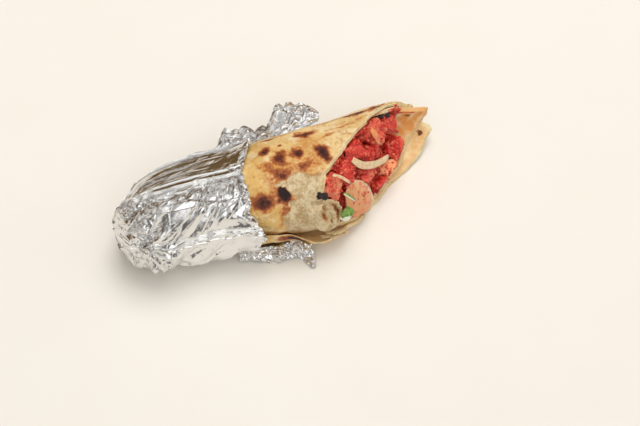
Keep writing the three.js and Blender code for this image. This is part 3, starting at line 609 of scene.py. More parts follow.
def makeBread(finish):
    columns, edgeRows = bread["columns"] + 1, bread["edgeRows"]
    degrees = np.linspace(roll["outerEdge"], roll["innerEdge"], columns)[:, None]
    hidden = np.linspace(0, 1, bread["hiddenRows"], endpoint=False)[None]
    shown = np.linspace(0, 1, bread["shownRows"])[None] ** bread["rowEasing"]
    along = ring(degrees[:, 0], 0.1)
    teeth = sum(reach * lumps(along, size, 1, 3) for size, reach in bread["ragged"])[:, None]
    rippleSize, ripple = bread["endRipple"]

    # long low folds where the roll was pressed together on top
    us = np.radians(degrees[:, 0]) * roll["roundRadius"]
    vs = np.linspace(0, bread["foldSpan"], hidden.size + shown.size)
    pressed = creases(us, vs, bread["foldSpacing"], 15)

    def face(depth, seed):
        thinned = mix(bread["freeEdge"], 1, smooth(*bread["freeEdgeAngle"], degrees))
        inside = layerInside(degrees) + depth * thinned
        endX = breadEndX(degrees, inside) + teeth + ripple * lumps(along, rippleSize, 2, seed)[:, None]
        x = np.hstack([mix(bread["startX"], bread["hiddenX"], hidden) + 0 * degrees,
                       mix(bread["hiddenX"], endX, shown)])
        inside = inside + roll["squeezed"] * smooth(*roll["squeezedX"], x)
        peel = roll["peelReach"] * bump(degrees, *roll["peelAngle"]) * bump(x, *roll["peelX"])
        lip = bread["lipRise"] * (1 - smooth(*bread["lipGoneX"], x))
        around = degrees - lip * (1 - smooth(*bread["lipAngle"], degrees))
        base = rollPoint(x, around, inside, peel)
        relief = sum(height * lumps(base, size, 1, seed) for size, height in bread["blisters"])
        relief = relief + bread["foldHeight"] * pressed * bump(degrees, *bread["foldedAngle"])
        return x, around, endX - x, inside, peel, base, relief

    # the outside, with its marks and the patch where the top layer is torn off
    x, around, fromEnd, inside, peel, base, relief = face(0, 11)
    size, reach = bread["tearRagged"]
    ragged = reach * lumps(base, size, 3, 4)
    lineX, wave = bread["tearLine"]
    tongueAngle, tongueWidth, tongueReach = bread["tearTongue"]
    tearX = lineX + wave * np.sin(np.radians(4 * degrees))
    tearX = tearX - tongueReach * bump(degrees, tongueAngle, tongueWidth)
    fadeAlong, fadeRound = bread["tearFade"]
    torn = smooth(*fadeAlong, x - tearX + ragged)
    torn = torn * smooth(*fadeRound, degrees - 360 - bread["tearTop"] + 1.6 * ragged)
    torn = torn * (degrees - 360 < roll["tuckTo"] - 360 + bread["tearPastTuck"])
    size, height = bread["tearRough"]
    rough = height * lumps(base, size, 2, 6)
    char = markBread(base, x, around) * (1 - 0.85 * torn) * (degrees < roll["tuckTo"])
    relief = relief * (1 - 0.5 * torn) + torn * (rough - bread["tearDepth"])
    relief = relief - bread["charDepth"] * np.clip(char, 0, 1)
    tucked = smooth(roll["tuckFrom"], roll["tuckTo"], degrees)
    outer = rollPoint(x, around, inside, peel + relief * (1 - 0.7 * tucked))
    edgeOuter = 1 - smooth(*bread["edgeFade"], fromEnd)

    # the inside, which the sauce has stained
    x, around, fromEnd, inside, peel, _, relief = face(roll["thickness"], 12)
    inner = rollPoint(x, around, inside, peel + 0.5 * relief)
    edgeInner = 1 - smooth(*bread["edgeFade"], fromEnd)
    stain = smooth(*bread["soakedX"], x) * (0.6 + 0.6 * lumps(inner, 10, 2, 8))
    tip, tipReach = bread["soakedTip"]
    nearTip = bump(degrees, *tip) * (1 - smooth(*tipReach, fromEnd))
    stain = np.clip(stain + 0.4 * (1 - smooth(0, bread["soakedReach"], fromEnd)) + 0.6 * nearTip, 0, 1)
    stain = stain * mix(0.35, 1, degrees > bread["soakedFrom"])
    smearAngle, smearReach = bread["smear"]
    smear = bump(degrees, *smearAngle) * (1 - smooth(*smearReach, fromEnd))
    smear = smear * (1.0 + 0.8 * lumps(inner, 4, 2, 9))
    spot = np.max([bump(degrees, angle, width) * bump(fromEnd, back, reach)
                   for angle, width, back, reach in bread["tipSpots"]], 0)
    spot = spot * (1 + 0.6 * lumps(inner, 2.5, 2, 10))

    # the cut edge shows a few thin layers, each torn to its own length
    layers = []
    size, reach = bread["layerTeeth"]
    for number, share in enumerate((np.arange(edgeRows) + 0.7) / (edgeRows + 0.4)):
        layer = mix(outer[:, -1], inner[:, -1], share)
        layer[:, 0] += reach * lumps(along, size, 2, 20 + number) + bread["layerStep"] * (-1) ** number
        layers.append(layer)
    edge = np.stack(layers, 1)
    points = np.concatenate([outer, edge, inner[:, ::-1]], 1)
    points[..., 2] = np.maximum(points[..., 2], bread["floorGap"])

    def profile(onOuter, onEdge, onInner):
        return np.concatenate([onOuter, np.full(edge.shape[:2], onEdge), onInner[:, ::-1]], 1)

    none = np.zeros_like(x)
    attributes = {
        "char": profile(char, 0.0, none), "torn": profile(torn, 0.0, none),
        "stain": profile(none, 0.1 + 0.8 * bump(degrees, *bread["edgeSoaked"]), stain),
        "edge": profile(edgeOuter, 1.0, edgeInner), "inner": profile(none, 0.0, none + 1),
        "smear": profile(none, 0.0, np.clip(smear, 0, 1)), "spot": profile(none, 0.0, spot),
    }
    rows, half = points.shape[1], x.shape[1]
    faces = gridFaces(columns, rows).tolist()
    index = np.arange(columns * rows).reshape(columns, rows)
    faces += np.stack([index[:-1, -1], index[1:, -1], index[1:, 0], index[:-1, 0]], -1).tolist()
    for end, step in ((index[0], 1), (index[-1], -1)):
        front, behind = end[:half], end[::-1][:half]
        strip = np.stack([front[:-1], front[1:], behind[1:], behind[:-1]], -1)
        lip = end[half - 1:rows - half + 1]
        faces += strip[:, ::step].tolist()
        faces.append(lip[::step].tolist())
    piece = addPiece("paratha_bread", points, faces, finish, "griddled_bread", ["paratha"], attributes)
    piece.data.set_sharp_from_angle(angle=np.radians(bread["sharpAngle"]))


def breadFinish():
    finish = Finish("griddled bread", Subsurface_Weight=0.12, Subsurface_Scale=0.003,
                    Subsurface_Radius=(1.0, 0.55, 0.25), Specular_IOR_Level=0.3)
    tones = tonesOf(bread["colours"])
    char, torn, stain, edge, inner = map(finish.attribute, ("char", "torn", "stain", "edge", "inner"))
    broad, mid, fine = finish.noise(22, 4), finish.noise(6, 4), finish.noise(1.6, 3)
    grit = finish.noise(0.9, 2)
    # golden near the foil, paler towards the cut
    along = finish.wire.node("ShaderNodeSeparateXYZ", None, {0: finish.place}, "X")
    dough = along.between(-0.02, 0.05).blend(*tones["dough"])
    dough = (broad.between(0.42, 0.66) * 0.7).blend(dough, tones["tan"])
    toasted = (mid * 0.5 + fine * 0.5).between(0.48, 0.68)
    dough = (toasted * 0.65).blend(dough, tones["toasted"])
    pale = (finish.noise(7, 4).between(0.5, 0.66) * 0.65).blend(dough, tones["pale"])
    freckles = (grit * 0.6 + fine * 0.4).between(0.56, 0.68)
    skin = (freckles * 0.55).blend(pale, tones["freckles"])
    specks = finish.noise(1.1, 2, 0.5).between(0.69, 0.75)
    skin = (specks * 0.8).blend(skin, tones["specks"])
    # on the torn folds char also carries painted shade in their dents, which these heats darken
    nearMark = char.between(0.02, 0.3)
    heat = char + (fine - 0.5) * 0.8 * nearMark + (mid - 0.5) * 0.5 * nearMark
    for low, high, share, code in bread["heats"]:
        skin = (heat.between(low, high) * share).blend(skin, srgb(code))
    # the torn patch and the edges
    flaked = (mid * 0.5 + fine * 0.5).between(0.4, 0.62).blend(*tones["flaked"])
    flaked = (grit.between(0.6, 0.7) * 0.6).blend(flaked, tones["pits"])
    skin = torn.blend(skin, flaked)
    tornEdge = (torn * (1 - torn) * 4).between(0.3, 1.0)
    skin = (tornEdge * 0.5).blend(skin, tones["tornEdge"])
    skin = (edge * mid.between(0.35, 0.6) * 0.6).blend(skin, tones["cutEdge"])
    skin = (edge * stain.between(0.15, 0.9) * 0.75).blend(skin, tones["soakedEdge"])
    inside = mid.between(0.35, 0.65).blend(*tones["inside"])
    inside = (freckles * 0.4).blend(inside, tones["insideFreckles"])
    inside = (stain * finish.noise(5, 3).between(0.3, 0.6)).blend(inside, tones["soaked"])
    inside = finish.attribute("smear").between(0.35, 0.6).blend(inside, tones["smear"])
    spot = finish.attribute("spot") + (fine - 0.5) * 0.4
    for low, high, share, code in bread["spotHeats"]:
        inside = (spot.between(low, high) * share).blend(inside, srgb(code))
    finish.feed(Base_Color=(inner * (1 - edge * 0.5)).blend(skin, inside))
    finish.feed(Roughness=0.5 + fine * 0.25 + torn * 0.15)
    finish.relief(fine * 0.6 + finish.noise(0.7, 2) * 0.4, 0.35)
    return finish


griddled = breadFinish()
makeBread(griddled)


flakes = {
    "steps": (70, 16), "thickness": 0.5, "fray": 0.3, "waviness": (3, 0.25), "torn": 0.8,
    # thin layers that came away, each from its root to its free edge:
    # x, angle round the roll, how far it stands off
    "layers": [
        {"root": [(-31, 206, 0.4), (-24, 207, 1.0), (-15, 208, 0.2)],
         "edge": [(-30, 204, 2.4), (-23.5, 204.5, 3.4), (-15, 206, 1.8)]},
        {"root": [(-28, 202, -1.4), (-22, 203, -0.6), (-16, 204, -1.4)],
         "edge": [(-27.5, 200, 0.6), (-22, 200.5, 1.8), (-16.5, 202, 0.4)]},
    ],
}


def curveThrough(points, count):
    # a smooth curve through the points, evenly stepped
    points = np.asarray(points, float)
    padded = np.vstack([2 * points[0] - points[1], points, 2 * points[-1] - points[-2]])
    t = np.linspace(0, len(points) - 1.0001, 200)
    k = t.astype(int)
    f = (t - k)[:, None]
    a, b, c, d = padded[k], padded[k + 1], padded[k + 2], padded[k + 3]
    fine = 0.5 * (2 * b + (c - a) * f + (2 * a - 5 * b + 4 * c - d) * f ** 2
                  + (3 * b - a - 3 * c + d) * f ** 3)
    lengths = np.append(0, np.cumsum(np.linalg.norm(np.diff(fine, axis=0), axis=1)))
    even = np.linspace(0, lengths[-1], count)
    return np.stack([np.interp(even, lengths, fine[:, k]) for k in range(3)], -1)


def mouthCurve(path, count):
    return curveThrough([mouthPoint(*p) for p in path], count)


def fray(u, number, size, seed):
    # noise along the free edge of a sheet, about 30 mm of it, its own for each
    return lumps(np.stack([u * 30, 0 * u + number * 9, 0 * u], -1), size, 3, seed + number)


def makeFlakes(finish):
    uSteps, vSteps = flakes["steps"]
    u = np.linspace(0, 1, uSteps)[:, None]
    v = np.linspace(0, 1, vSteps)[None]
    size, reach = flakes["waviness"]
    sheets, marks = [], []
    for number, layer in enumerate(flakes["layers"]):
        root, edge = [curveThrough([rollPoint(x, angle, -stand) for x, angle, stand in layer[key]], uSteps)
                      for key in ("root", "edge")]
        share = v * (0.85 + flakes["fray"] * fray(u, number, 4, 50) * np.sin(np.pi * u))
        points = mix(root[:, None], edge[:, None], share[..., None])
        points = points + outward * reach * lumps(points, size, 2, 60 + number)[..., None]
        thin = flakes["thickness"] * (0.25 + 0.75 * np.sin(np.pi * u) ** 0.3 * (1 - v ** 6))
        sheets.append(thinSheet(points, gridNormals(points) * thin[..., None], 1.0))
        marks.append(bothFaces(v + 0 * u))
    edge = np.concatenate(marks)
    addPiece("bread_flakes", *joined(sheets), finish, "griddled_bread", ["paratha"],
             {"edge": edge, "torn": np.full(len(edge), flakes["torn"])})


folds = {
    # hollowDepth and shade: how deep a dent must be for full painted shade, and how dark that painted shade
    # is
    "steps": (90, 60), "fray": 0.05, "waviness": ((4, 0.45), (1.4, 0.2)), "hollowDepth": 1.4, "shade": 0.62,
    # torn layers that lie over the filling, each from its root on the wall to its free edge in the mouth
    "layers": [
        {"root": [(-34.5, 140, 0.9), (-34.5, 155, 0.9), (-34.5, 170, 0.9), (-31.5, 185, 0.9),
                  (-26, 196, 1.2)],
         "edge": [(-21.7, 14.3, 2.4), (-19.1, 7.4, 3.6), (-19, -1, 3.6), (-22.1, -6.6, 3),
                  (-26.8, -8.6, 1.4)],
         "thickness": 1.0, "bulge": 1.2,
         # ridges and hollows: place and width along it, place and width across it, height
         "dents": [(0.55, 0.5, 0.66, 0.12, 1.2), (0.58, 0.42, 0.83, 0.12, -2.6), (0.55, 0.5, 0.98, 0.08, 0.8),
                   (0.5, 0.2, 0.38, 0.13, -2.2), (0.72, 0.12, 0.54, 0.09, -1.6), (0.3, 0.2, 0.5, 0.1, -1.2)]},
        {"root": [(-38, 146, 1.6), (-38.5, 160, 1.6), (-37.5, 174, 1.6)],
         "edge": [(-22.2, 11.5, 2.2), (-25, 10.6, 2.4), (-27.5, 9, 2.4), (-28.4, 4.5, 1.6)],
         "thickness": 0.8, "bulge": 0.6, "dents": [(0.5, 0.6, 0.95, 0.2, 0.8)]},
    ],
}


def makeFolds(finish):
    uSteps, vSteps = folds["steps"]
    u = np.linspace(0, 1, uSteps)[:, None, None]
    v = np.linspace(0, 1, vSteps)[None, :, None]
    sheets, hollows, marks = [], [], []
    for number, layer in enumerate(folds["layers"]):
        root = curveThrough([rollPoint(*p) for p in layer["root"]], uSteps)[:, None]
        edge = mouthCurve(layer["edge"], uSteps)[:, None]
        share = v * (1 + folds["fray"] * fray(u, number, 3, 52))
        points = mix(root, edge, share) + outward * layer["bulge"] * np.sin(np.pi * np.clip(v, 0, 1) ** 1.3)
        # painted shade: how deep each point lies in a dent, darkened there through the char and torn colours
        hollowShade = 0 * u * v
        for uMiddle, uWidth, vMiddle, vWidth, rise in layer["dents"]:
            dent = rise * bump(u, uMiddle, uWidth) * bump(v, vMiddle, vWidth)
            points = points + outward * dent
            hollowShade = hollowShade + np.clip(-dent / folds["hollowDepth"], 0, 1)
        wavy = sum(reach * lumps(points, size, 2, seed)
                   for seed, (size, reach) in enumerate(folds["waviness"], 91))
        points = points + outward * wavy[..., None]
        thin = layer["thickness"] * (0.3 + 0.7 * np.sin(np.pi * u) ** 0.3 * (1 - v ** 8))
        sheets.append(thinSheet(points, gridNormals(points) * thin, 1.0))
        hollows.append(bothFaces(hollowShade))
        marks.append(bothFaces(v ** 10 + 0 * u))
    hollowShade = np.clip(np.concatenate(hollows), 0, 1)
    # in the dents the torn colour gives way to char, which paints shade there
    addPiece("torn_folds", *joined(sheets), finish, "griddled_bread", ["paratha"],
             {"edge": np.concatenate(marks), "torn": 1 - hollowShade, "char": folds["shade"] * hollowShade})


makeFlakes(griddled)
makeFolds(griddled)
print("bread made")


# foil

foil = {
    "columns": 396, "bodyRows": 96, "capRows": 99, "capTurn": 88.5, "sheetRadius": 29.5, "sheetLength": 96,
    "inset": (0.12, 1.3), "insetRows": 8, "innerStep": 3, "floorGap": (0.15, 0.3), "colour": "E6E5E3",
    # the closed end: where it is, its length and fullness in front and at the back
    "endX": -137.5, "front": (24, 2.4), "back": (48, 1.55), "backAngle": 30, "squareness": 0.45,
    # the rim: angle, width and reach of each lip, then size, octaves and reach of its raggedness
    "edgeX": -66.5, "lips": [(174, 38, 6), (40, 55, 10)], "ragged": ((7, 2, 1.3), (2.4, 1, 0.9)),
    "rimDepth": 5, "pleats": 2.6, "stand": 1.6, "clearX": (-82, -72.5),
    # facets from large to tiny: size, height, stretch, turn
    "facets": [(16, 1.7, 1, 0), (9.5, 2.0, 2.2, 30), (5.2, 1.3, 2.5, 35), (2.8, 0.65, 2.5, -30),
               (1.4, 0.12, 1, 0)],
    # the even top, the crushed end and the low front: where each begins and ends
    "topFrom": (25, 45), "topTo": (88, 104), "topX": (-132, -118), "turnedUp": 8,
    "turnedFrom": (-5, 40), "turnedTo": (92, 48), "evenAngle": (88, 40), "evenFromX": -78, "evenRise": 0.8,
    "crushedX": (-104, -122), "lowFrom": (140, 165), "lowTo": (210, 240),
    # a crumpled patch, a calm panel and a calm band: angle and width, x and length
    "patch": (106, 22, -84, 22), "panel": (136, 24, -98, 22), "band": (151, 9, -110, 26),
    # long lines on the top: x and angle of both ends
    "topLines": [(-128, 66, -72, 54), (-118, 80, -84, 72), (-112, 50, -76, 44), (-124, 72, -96, 66)],
    "lineHeight": 0.6, "lineWidth": 2.6, "longFolds": 0.16, "crossFolds": 1.4,
    "seam": (-122, 101, -76, 119), "seamStep": 1.5, "seamWidth": 2.8, "seamFade": (8, 50),
    "seamFrom": (-126, -116), "seamTo": (-78, -72),
}


def foilFinish():
    finish = Finish("crumpled foil", Metallic=1.0, Base_Color=(*srgb(foil["colour"]), 1))
    finish.feed(Roughness=0.13 + finish.noise(4, 3) * 0.14)
    finish.relief(finish.cells(2.4) * 0.6 + finish.cells(1.0) * 0.4, 0.05)
    return finish


def makeSleeve(finish):
    degrees = np.linspace(0, 360, foil["columns"], endpoint=False)[:, None]
    toBack = smooth(-1, 1, np.cos(np.radians(degrees - foil["backAngle"])))
    length, power = [mix(front, back, toBack) for front, back in zip(foil["front"], foil["back"])]
    rim = foil["edgeX"] + 0 * degrees
    for angle, width, reach in foil["lips"]:
        rim = rim + reach * bump(degrees, angle, width)
    for seed, (size, octaves, reach) in enumerate(foil["ragged"], 31):
        rim = rim + reach * lumps(ring(degrees[:, 0]), size, octaves, seed)[:, None]
    capX = foil["endX"] + length
    body = np.linspace(0, 1, foil["bodyRows"], endpoint=False)[None]
    bend = np.radians(np.linspace(0, foil["capTurn"], foil["capRows"]))[None]
    x = np.hstack([mix(rim, capX, body), capX - length * np.sin(bend) ** (2 / power)])
    cap = np.hstack([np.ones((len(degrees), body.size)), np.cos(bend) ** (2 / power)])

    # facets are laid out over the flat sheet: round the roll and along it
    us = np.radians(degrees[:, 0]) * foil["sheetRadius"]
    vs = np.linspace(0, foil["sheetLength"], x.shape[1])
    period = 2 * np.pi * foil["sheetRadius"]
    large, broad, middle, small, tiny = [
        height * creases(us, vs, size, 40 + number, period, stretch, turn)
        for number, (size, height, stretch, turn) in enumerate(foil["facets"])]
    longFolds = creases(us, vs, 8, 45, period, 8, 84) + 0.4 * creases(us, vs, 5, 46, period, 6, 96)
    crossFolds = creases(us, vs, 6, 47, period, 5, 24)
    pleats = creases(us, vs / 4, 2.2, 48, period)

    # how strongly each kind shows, from zone to zone
    patch, panel, band = [
        bump(degrees, angle, width) * bump(x, middleX, halfX)
        for angle, width, middleX, halfX in (foil["patch"], foil["panel"], foil["band"])]
    top = smooth(*foil["topFrom"], degrees) * (1 - smooth(*foil["topTo"], degrees)) * smooth(*foil["topX"], x)
    endCrush = smooth(*foil["crushedX"], x)
    low = smooth(*foil["lowFrom"], degrees) * (1 - smooth(*foil["lowTo"], degrees))
    calm = (1 - 0.75 * panel) * (1 - 0.6 * band) * (1 - 0.85 * top)
    fine = (0.12 + 1.7 * endCrush + 1.7 * patch + 0.2 * low) * calm
    bold = (0.4 + 1.9 * endCrush + 1.4 * patch + 0.3 * low + 0.4 * low * endCrush) * calm
    height = large * (1 - 0.85 * top) + broad * (1 - 0.93 * top) * (1 - 0.4 * panel) * (1 - 0.5 * endCrush)
    height = height + middle * bold + (small + tiny) * fine
    height = height + foil["longFolds"] * longFolds * top + foil["crossFolds"] * crossFolds * panel
    alongX = np.stack([x, 0 * x, 0 * x], -1)
    for startX, startAngle, endX, endAngle in foil["topLines"]:
        share = (x - startX) / (endX - startX)
        lineAngle = mix(startAngle, endAngle, share) + 3 * lumps(alongX, 10, 2, endX)
        crest = np.clip(1 - np.abs(degrees - lineAngle) / foil["lineWidth"], 0, 1) * bump(share, 0.5, 0.6)
        height = height + foil["lineHeight"] * crest
    # one edge of the sheet lies over the other along the front
    startX, startAngle, endX, endAngle = foil["seam"]
    seamAngle = mix(startAngle, endAngle, np.clip((x - startX) / (endX - startX), 0, 1))
    past = degrees - (seamAngle + 2.0 * lumps(alongX, 12, 2, 33))
    onSeam = smooth(*foil["seamFrom"], x) * (1 - smooth(*foil["seamTo"], x))
    laidOver = np.clip(past / foil["seamWidth"] + 0.5, 0, 1)
    height = height + foil["seamStep"] * onSeam * laidOver * (1 - smooth(*foil["seamFade"], past))
    nearRim = 1 - smooth(0, foil["rimDepth"], rim - x)
    height = height * (1 - 0.6 * nearRim) + (foil["pleats"] * pleats + 1.5 * small - 0.3) * nearRim
    # the top lies evenly, turned up a little
    waves = unevenness(degrees, np.maximum(x, foil["evenFromX"]))
    height = height + (foil["evenRise"] * smooth(*foil["evenAngle"], degrees) - waves) * top
    raised = foil["turnedUp"] * (1 - cap) * smooth(*foil["turnedTo"], degrees)
    height = height + raised * smooth(*foil["turnedFrom"], degrees) * top
    # it stays clear of the bread where the bread begins
    least = mix(-6, 0.6 + 0.7 * np.abs(middle) + 0.8 * np.abs(small), smooth(*foil["clearX"], x))
    stand = np.maximum(foil["stand"] + height, least)

    inBread = np.maximum(x, roll["startX"] + roll["endTaperLength"])
    points = rollPoint(inBread, degrees, -stand)
    axisZ = rollAxisZ(inBread)
    outerGap, innerGap = foil["floorGap"]
    points[..., 0] = x + 0.9 * (large + middle) * (1 - cap) * endCrush
    points[..., 1] *= cap
    points[..., 2] = axisZ + (points[..., 2] - axisZ) * cap ** foil["squareness"]
    points[..., 2] = np.maximum(points[..., 2], outerGap)
    # the inside is laid more coarsely, close under the outside at the rim
    step = foil["innerStep"]
    under = mix(*foil["inset"], smooth(0, foil["insetRows"], np.arange(points.shape[1])))[None, :, None]
    inner = (points + gridNormals(points, True) * under)[::step, ::step]
    inner[..., 2] = np.maximum(inner[..., 2], innerGap)
    rings, rows = points.shape[:2]
    innerRings, innerRows = inner.shape[:2]
    first = rings * rows
    faces = gridFaces(rings, rows, True).tolist()
    faces += gridFaces(innerRings, innerRows, True, first)[:, ::-1].tolist()
    for k in range(innerRings):
        near, after = first + k * innerRows, first + (k + 1) % innerRings * innerRows
        edge = [(k * step + j) % rings * rows for j in range(step + 1)]
        faces += [[near, a, b] for a, b in zip(edge, edge[1:])]
        faces.append([near, edge[-1], after])
    faces.append((np.arange(rings) * rows + rows - 1)[::-1].tolist())
    faces.append((first + np.arange(innerRings) * innerRows + innerRows - 1).tolist())
    both = np.concatenate([points.reshape(-1, 3), inner.reshape(-1, 3)])
    addPiece("foil_sleeve", both, faces, finish, "crumpled_foil", ["foil_wrap"], faceted=True)


collar = {
    "columns": 250, "rows": 120, "thickness": 0.12, "floorGap": 0.2,
    "flatWidth": (0, 20, 88, 108), "flatLength": 52,  # the sheet laid flat: across to each bend, and along
    "startX": -76, "backX": -14, "underX": -32, "frontX": -36,
    "backAngle": 4, "frontAngle": -128, "backShare": 0.24, "frontShare": 0.78,
    # along the back: x, half length and reach of each lobe
    "backFlares": [(-67, 9, 9.4), (-62, 9, 8.7), (-57, 10, 8.8), (-47, 10, 6), (-36, 14, 15.2),
                   (-29.5, 12, 14), (-23, 18, 12.3)],
    "backReach": 3.5, "backRise": 0.34,
    # along the front, with a tail that reaches out and a leaf that stands up: x, half length, reach
    "frontReach": (7, 12), "frontReachX": (-77, -50), "frontRoll": 5.0, "tail": (-37, 9, 9),
    "leaf": (-44, 4, 5),
    "facets": ((6.5, 1.6), (3.2, 1.3), (1.7, 0.7)), "sideways": (7, 1.4), "ragged": ((5, 0.6), (2.6, 0.5)),
    "wrinkles": (6, 0.1, 0.9),  # size, width and depth of the sharp lines
}


def makeCollar(finish):
    backShare, frontShare = collar["backShare"], collar["frontShare"]
    u = np.linspace(0, 1, collar["columns"])[:, None]
    v = np.linspace(0, 1, collar["rows"])[None]
    us = np.interp(u[:, 0], [0, backShare, frontShare, 1], collar["flatWidth"])
    vs = v[0] * collar["flatLength"]

    def crumpled(kinds, seed):
        return sum(height * creases(us, vs, size, seed + number)
                   for number, (size, height) in enumerate(kinds))

    size, width, deep = collar["wrinkles"]
    flat = np.stack(np.broadcast_arrays(us[:, None], vs[None], 0.0), -1)
    wrinkles = deep * np.clip(1 - np.abs(lumps(flat, size, 2, 63)) / width, 0, 1)
    crumple = crumpled(collar["facets"], 60) - wrinkles
    sideways = crumpled([collar["sideways"]], 64)
    ragged = crumpled(collar["ragged"], 67)
    back = np.clip(1 - u / backShare, 0, 1)
    front = np.clip((u - frontShare) / (1 - frontShare), 0, 1)
    free = np.maximum(back, front) ** 0.7
    endX = np.where(u < 0.5, mix(collar["backX"], collar["underX"], smooth(0.1, 0.4, u)),
                    mix(collar["underX"], collar["frontX"], smooth(0.6, 0.9, u)))
    x = mix(collar["startX"], endX, v) + sideways * free
    under = np.clip((u - backShare) / (frontShare - backShare), 0, 1)
    degrees = mix(collar["backAngle"], collar["frontAngle"], under)
    points = rollPoint(x, degrees, -0.9 - 0.3 * np.abs(crumple) * (1 - free))
    reach = collar["backReach"] + np.max([r * bump(x, at, width) for at, width, r in collar["backFlares"]], 0)
    reach = reach * (1 + 0.2 * ragged)
    tailX, tailLength, tailReach = collar["tail"]
    frontReach = mix(*collar["frontReach"], smooth(*collar["frontReachX"], x)) * (1 + 0.15 * ragged)
    frontReach = frontReach + tailReach * bump(x, tailX, tailLength)
    points[..., 1] += reach * back - frontReach * front + (0.5 * sideways - 0.6 * crumple) * free
    points[..., 2] += reach * collar["backRise"] * back ** 1.5 + crumple * back
    # along the front the sheet lies out from under the roll in a low crushed roll
    lying = 1 + collar["frontRoll"] * np.sin(np.pi * np.clip(front, 0, 1) ** 0.8)
    lying = lying + 0.9 * crumple * np.sqrt(front)
    leafX, leafLength, leafHeight = collar["leaf"]
    lying = lying + leafHeight * bump(x, leafX, leafLength) * np.sin(np.pi * front)
    points[..., 2] = mix(points[..., 2], lying, smooth(0, 0.35, front))
    points[..., 2] = np.maximum(points[..., 2], collar["floorGap"])
    both, faces = thinSheet(points, gridNormals(points), collar["thickness"])
    addPiece("foil_collar", both, faces, finish, "crumpled_foil", ["foil_wrap"], faceted=True)


shinyFoil = foilFinish()
makeSleeve(shinyFoil)
makeCollar(shinyFoil)
print("foil made")


# filling

def copyOfNode(name, voxel):
    # an even mesh over a node's solid, in layout millimetres, with its normals
    source = frame["nodes"][name].copy()
    source.data = source.data.copy()
    bpy.context.collection.objects.link(source)
    remesh = source.modifiers.new("even", "REMESH")
    remesh.mode = "VOXEL"
    remesh.voxel_size = voxel / 1000
    even = source.evaluated_get(bpy.context.evaluated_depsgraph_get()).to_mesh()
    points = np.empty(len(even.vertices) * 3)
    even.vertices.foreach_get("co", points)
    normals = np.empty(len(even.vertices) * 3)
    even.vertices.foreach_get("normal", normals)
    faces = [list(f.vertices) for f in even.polygons]
    data = source.data
    bpy.data.objects.remove(source)
    bpy.data.meshes.remove(data)
    return toLayout(points.reshape(-1, 3)), normals.reshape(-1, 3), faces


def meatFinish(name, colours):
    dark, mid, light, orange = map(srgb, colours)
    finish = Finish(name, Subsurface_Weight=0.15, Subsurface_Scale=0.002, Subsurface_Radius=(1.0, 0.3, 0.15),
                    Specular_IOR_Level=0.5)
    grain, tint = finish.attribute("grain"), finish.attribute("tint")
    fine, broad = finish.noise(1.0, 3), finish.noise(7, 3)
    # colour follows the grains: the dark red in the clefts between them is painted shade, while the fine
    # noise and tint give the sauce and flesh their own tones
    colour = (grain * 0.45 + fine * 0.5 + tint * 0.08).colours(
        [(0.24, dark), (0.42, mid), (0.58, light), (0.78, orange)])
    colour = (((broad - 0.5) * 1.2 + tint).between(0.25, 1.0) * 0.9).blend(colour, orange)
    finish.feed(Base_Color=colour, Roughness=0.24 + fine * 0.3)
    finish.relief(fine, 0.4)
    return finish


chunks = {
    # the first and darkest colour is painted shade in the clefts between grains
    "voxel": 0.36, "colours": ("6E120E", "CB3028", "E24D3C", "FFB07C"),
    "lump": (6, 1.3), "fibre": (3.0, 0.8), "grain": ((3.2, 1.0), (1.5, 0.4)),  # size and height
    "shredded": 0.55, "shredWarp": 2.4,
    "tints": (1.3, 0.0, 0.0, 0.35, 0.1, 0.2, 0.4, 0.0, 0.0, 0.5),  # how far each is orange rather than red
}


inWall = {
    "gap": 0.7, "roughness": (2.5, 0.6), "dome": 18, "domeEdge": 0.5,
    "doubleFrom": (190, 205), "doubleTo": (25, 40),  # between these angles the bread lies double
}


def keepInside(points, domed=True):
    # nothing of the filling passes through the bread, which lies double at the bottom and the back
    x, y = points[:, 0], points[:, 1]
    above = points[:, 2] - rollAxisZ(x)
    angle = np.degrees(np.arctan2(above, y)) % 360
    double = smooth(*inWall["doubleFrom"], angle) + 1 - smooth(*inWall["doubleTo"], angle)
    wall = roll["thickness"] + inWall["gap"] + (roll["thickness"] + roll["layerGap"]) * double
    size, reach = inWall["roughness"]
    wall = wall + reach * lumps(points, size, 2, 71)
    far = np.hypot(y / (rollHalfWidth(x) - wall), above / (rollHalfHeight(x) - wall))
    drawn = np.minimum(1, 1 / far)
    y = y * drawn
    z = np.maximum(rollAxisZ(x) + above * drawn, rollLift(x) + wall)
    if domed:  # over the cut, lowest along the walls
        dome = inWall["dome"] * (1 - np.minimum(far, 1))
        x = np.minimum(x, cutPlaneX(y, z - rollAxisZ(x)) + dome + inWall["domeEdge"])
    return np.stack([x, y, z], -1)


def squeezedAlong(points, direction, share):
    return points - share * (points @ direction)[:, None] * direction


def fibres(points, direction, size, seed):
    # sharp ridges that run along the direction
    return 1 - 2 * np.abs(lumps(squeezedAlong(points, direction, 0.78), size, 2, seed))


def makeChunks():
    rng = np.random.default_rng(70)
    finish = meatFinish("tikka chicken", chunks["colours"])
    for number, tint in enumerate(chunks["tints"], 1):
        name = f"chicken_{number:02d}"
        points, normals, faces = copyOfNode(name, chunks["voxel"])
        direction = unit(rng.normal(size=3))
        lump, lumpHeight = chunks["lump"]
        fibre, fibreHeight = chunks["fibre"]
        height = lumpHeight * lumps(points, lump, 1, number)
        height = height + fibreHeight * fibres(points, direction, fibre, number)
        shreds = squeezedAlong(points, direction, chunks["shredded"])
        shreds = shreds + np.stack([lumps(points, chunks["shredWarp"], 2, 30 + k) for k in range(3)], -1)
        grain = [grains(shreds, size, number) for size, _ in chunks["grain"]]
        height = height + sum(h * (g - 0.5) for g, (_, h) in zip(grain, chunks["grain"]))
        points = keepInside(points + normals * height[:, None])
        addPiece(name + "_meat", points, faces, finish, "tikka_chicken", [name],
                 {"tint": np.full(len(points), tint), "grain": 0.6 * grain[0] + 0.4 * grain[1]})


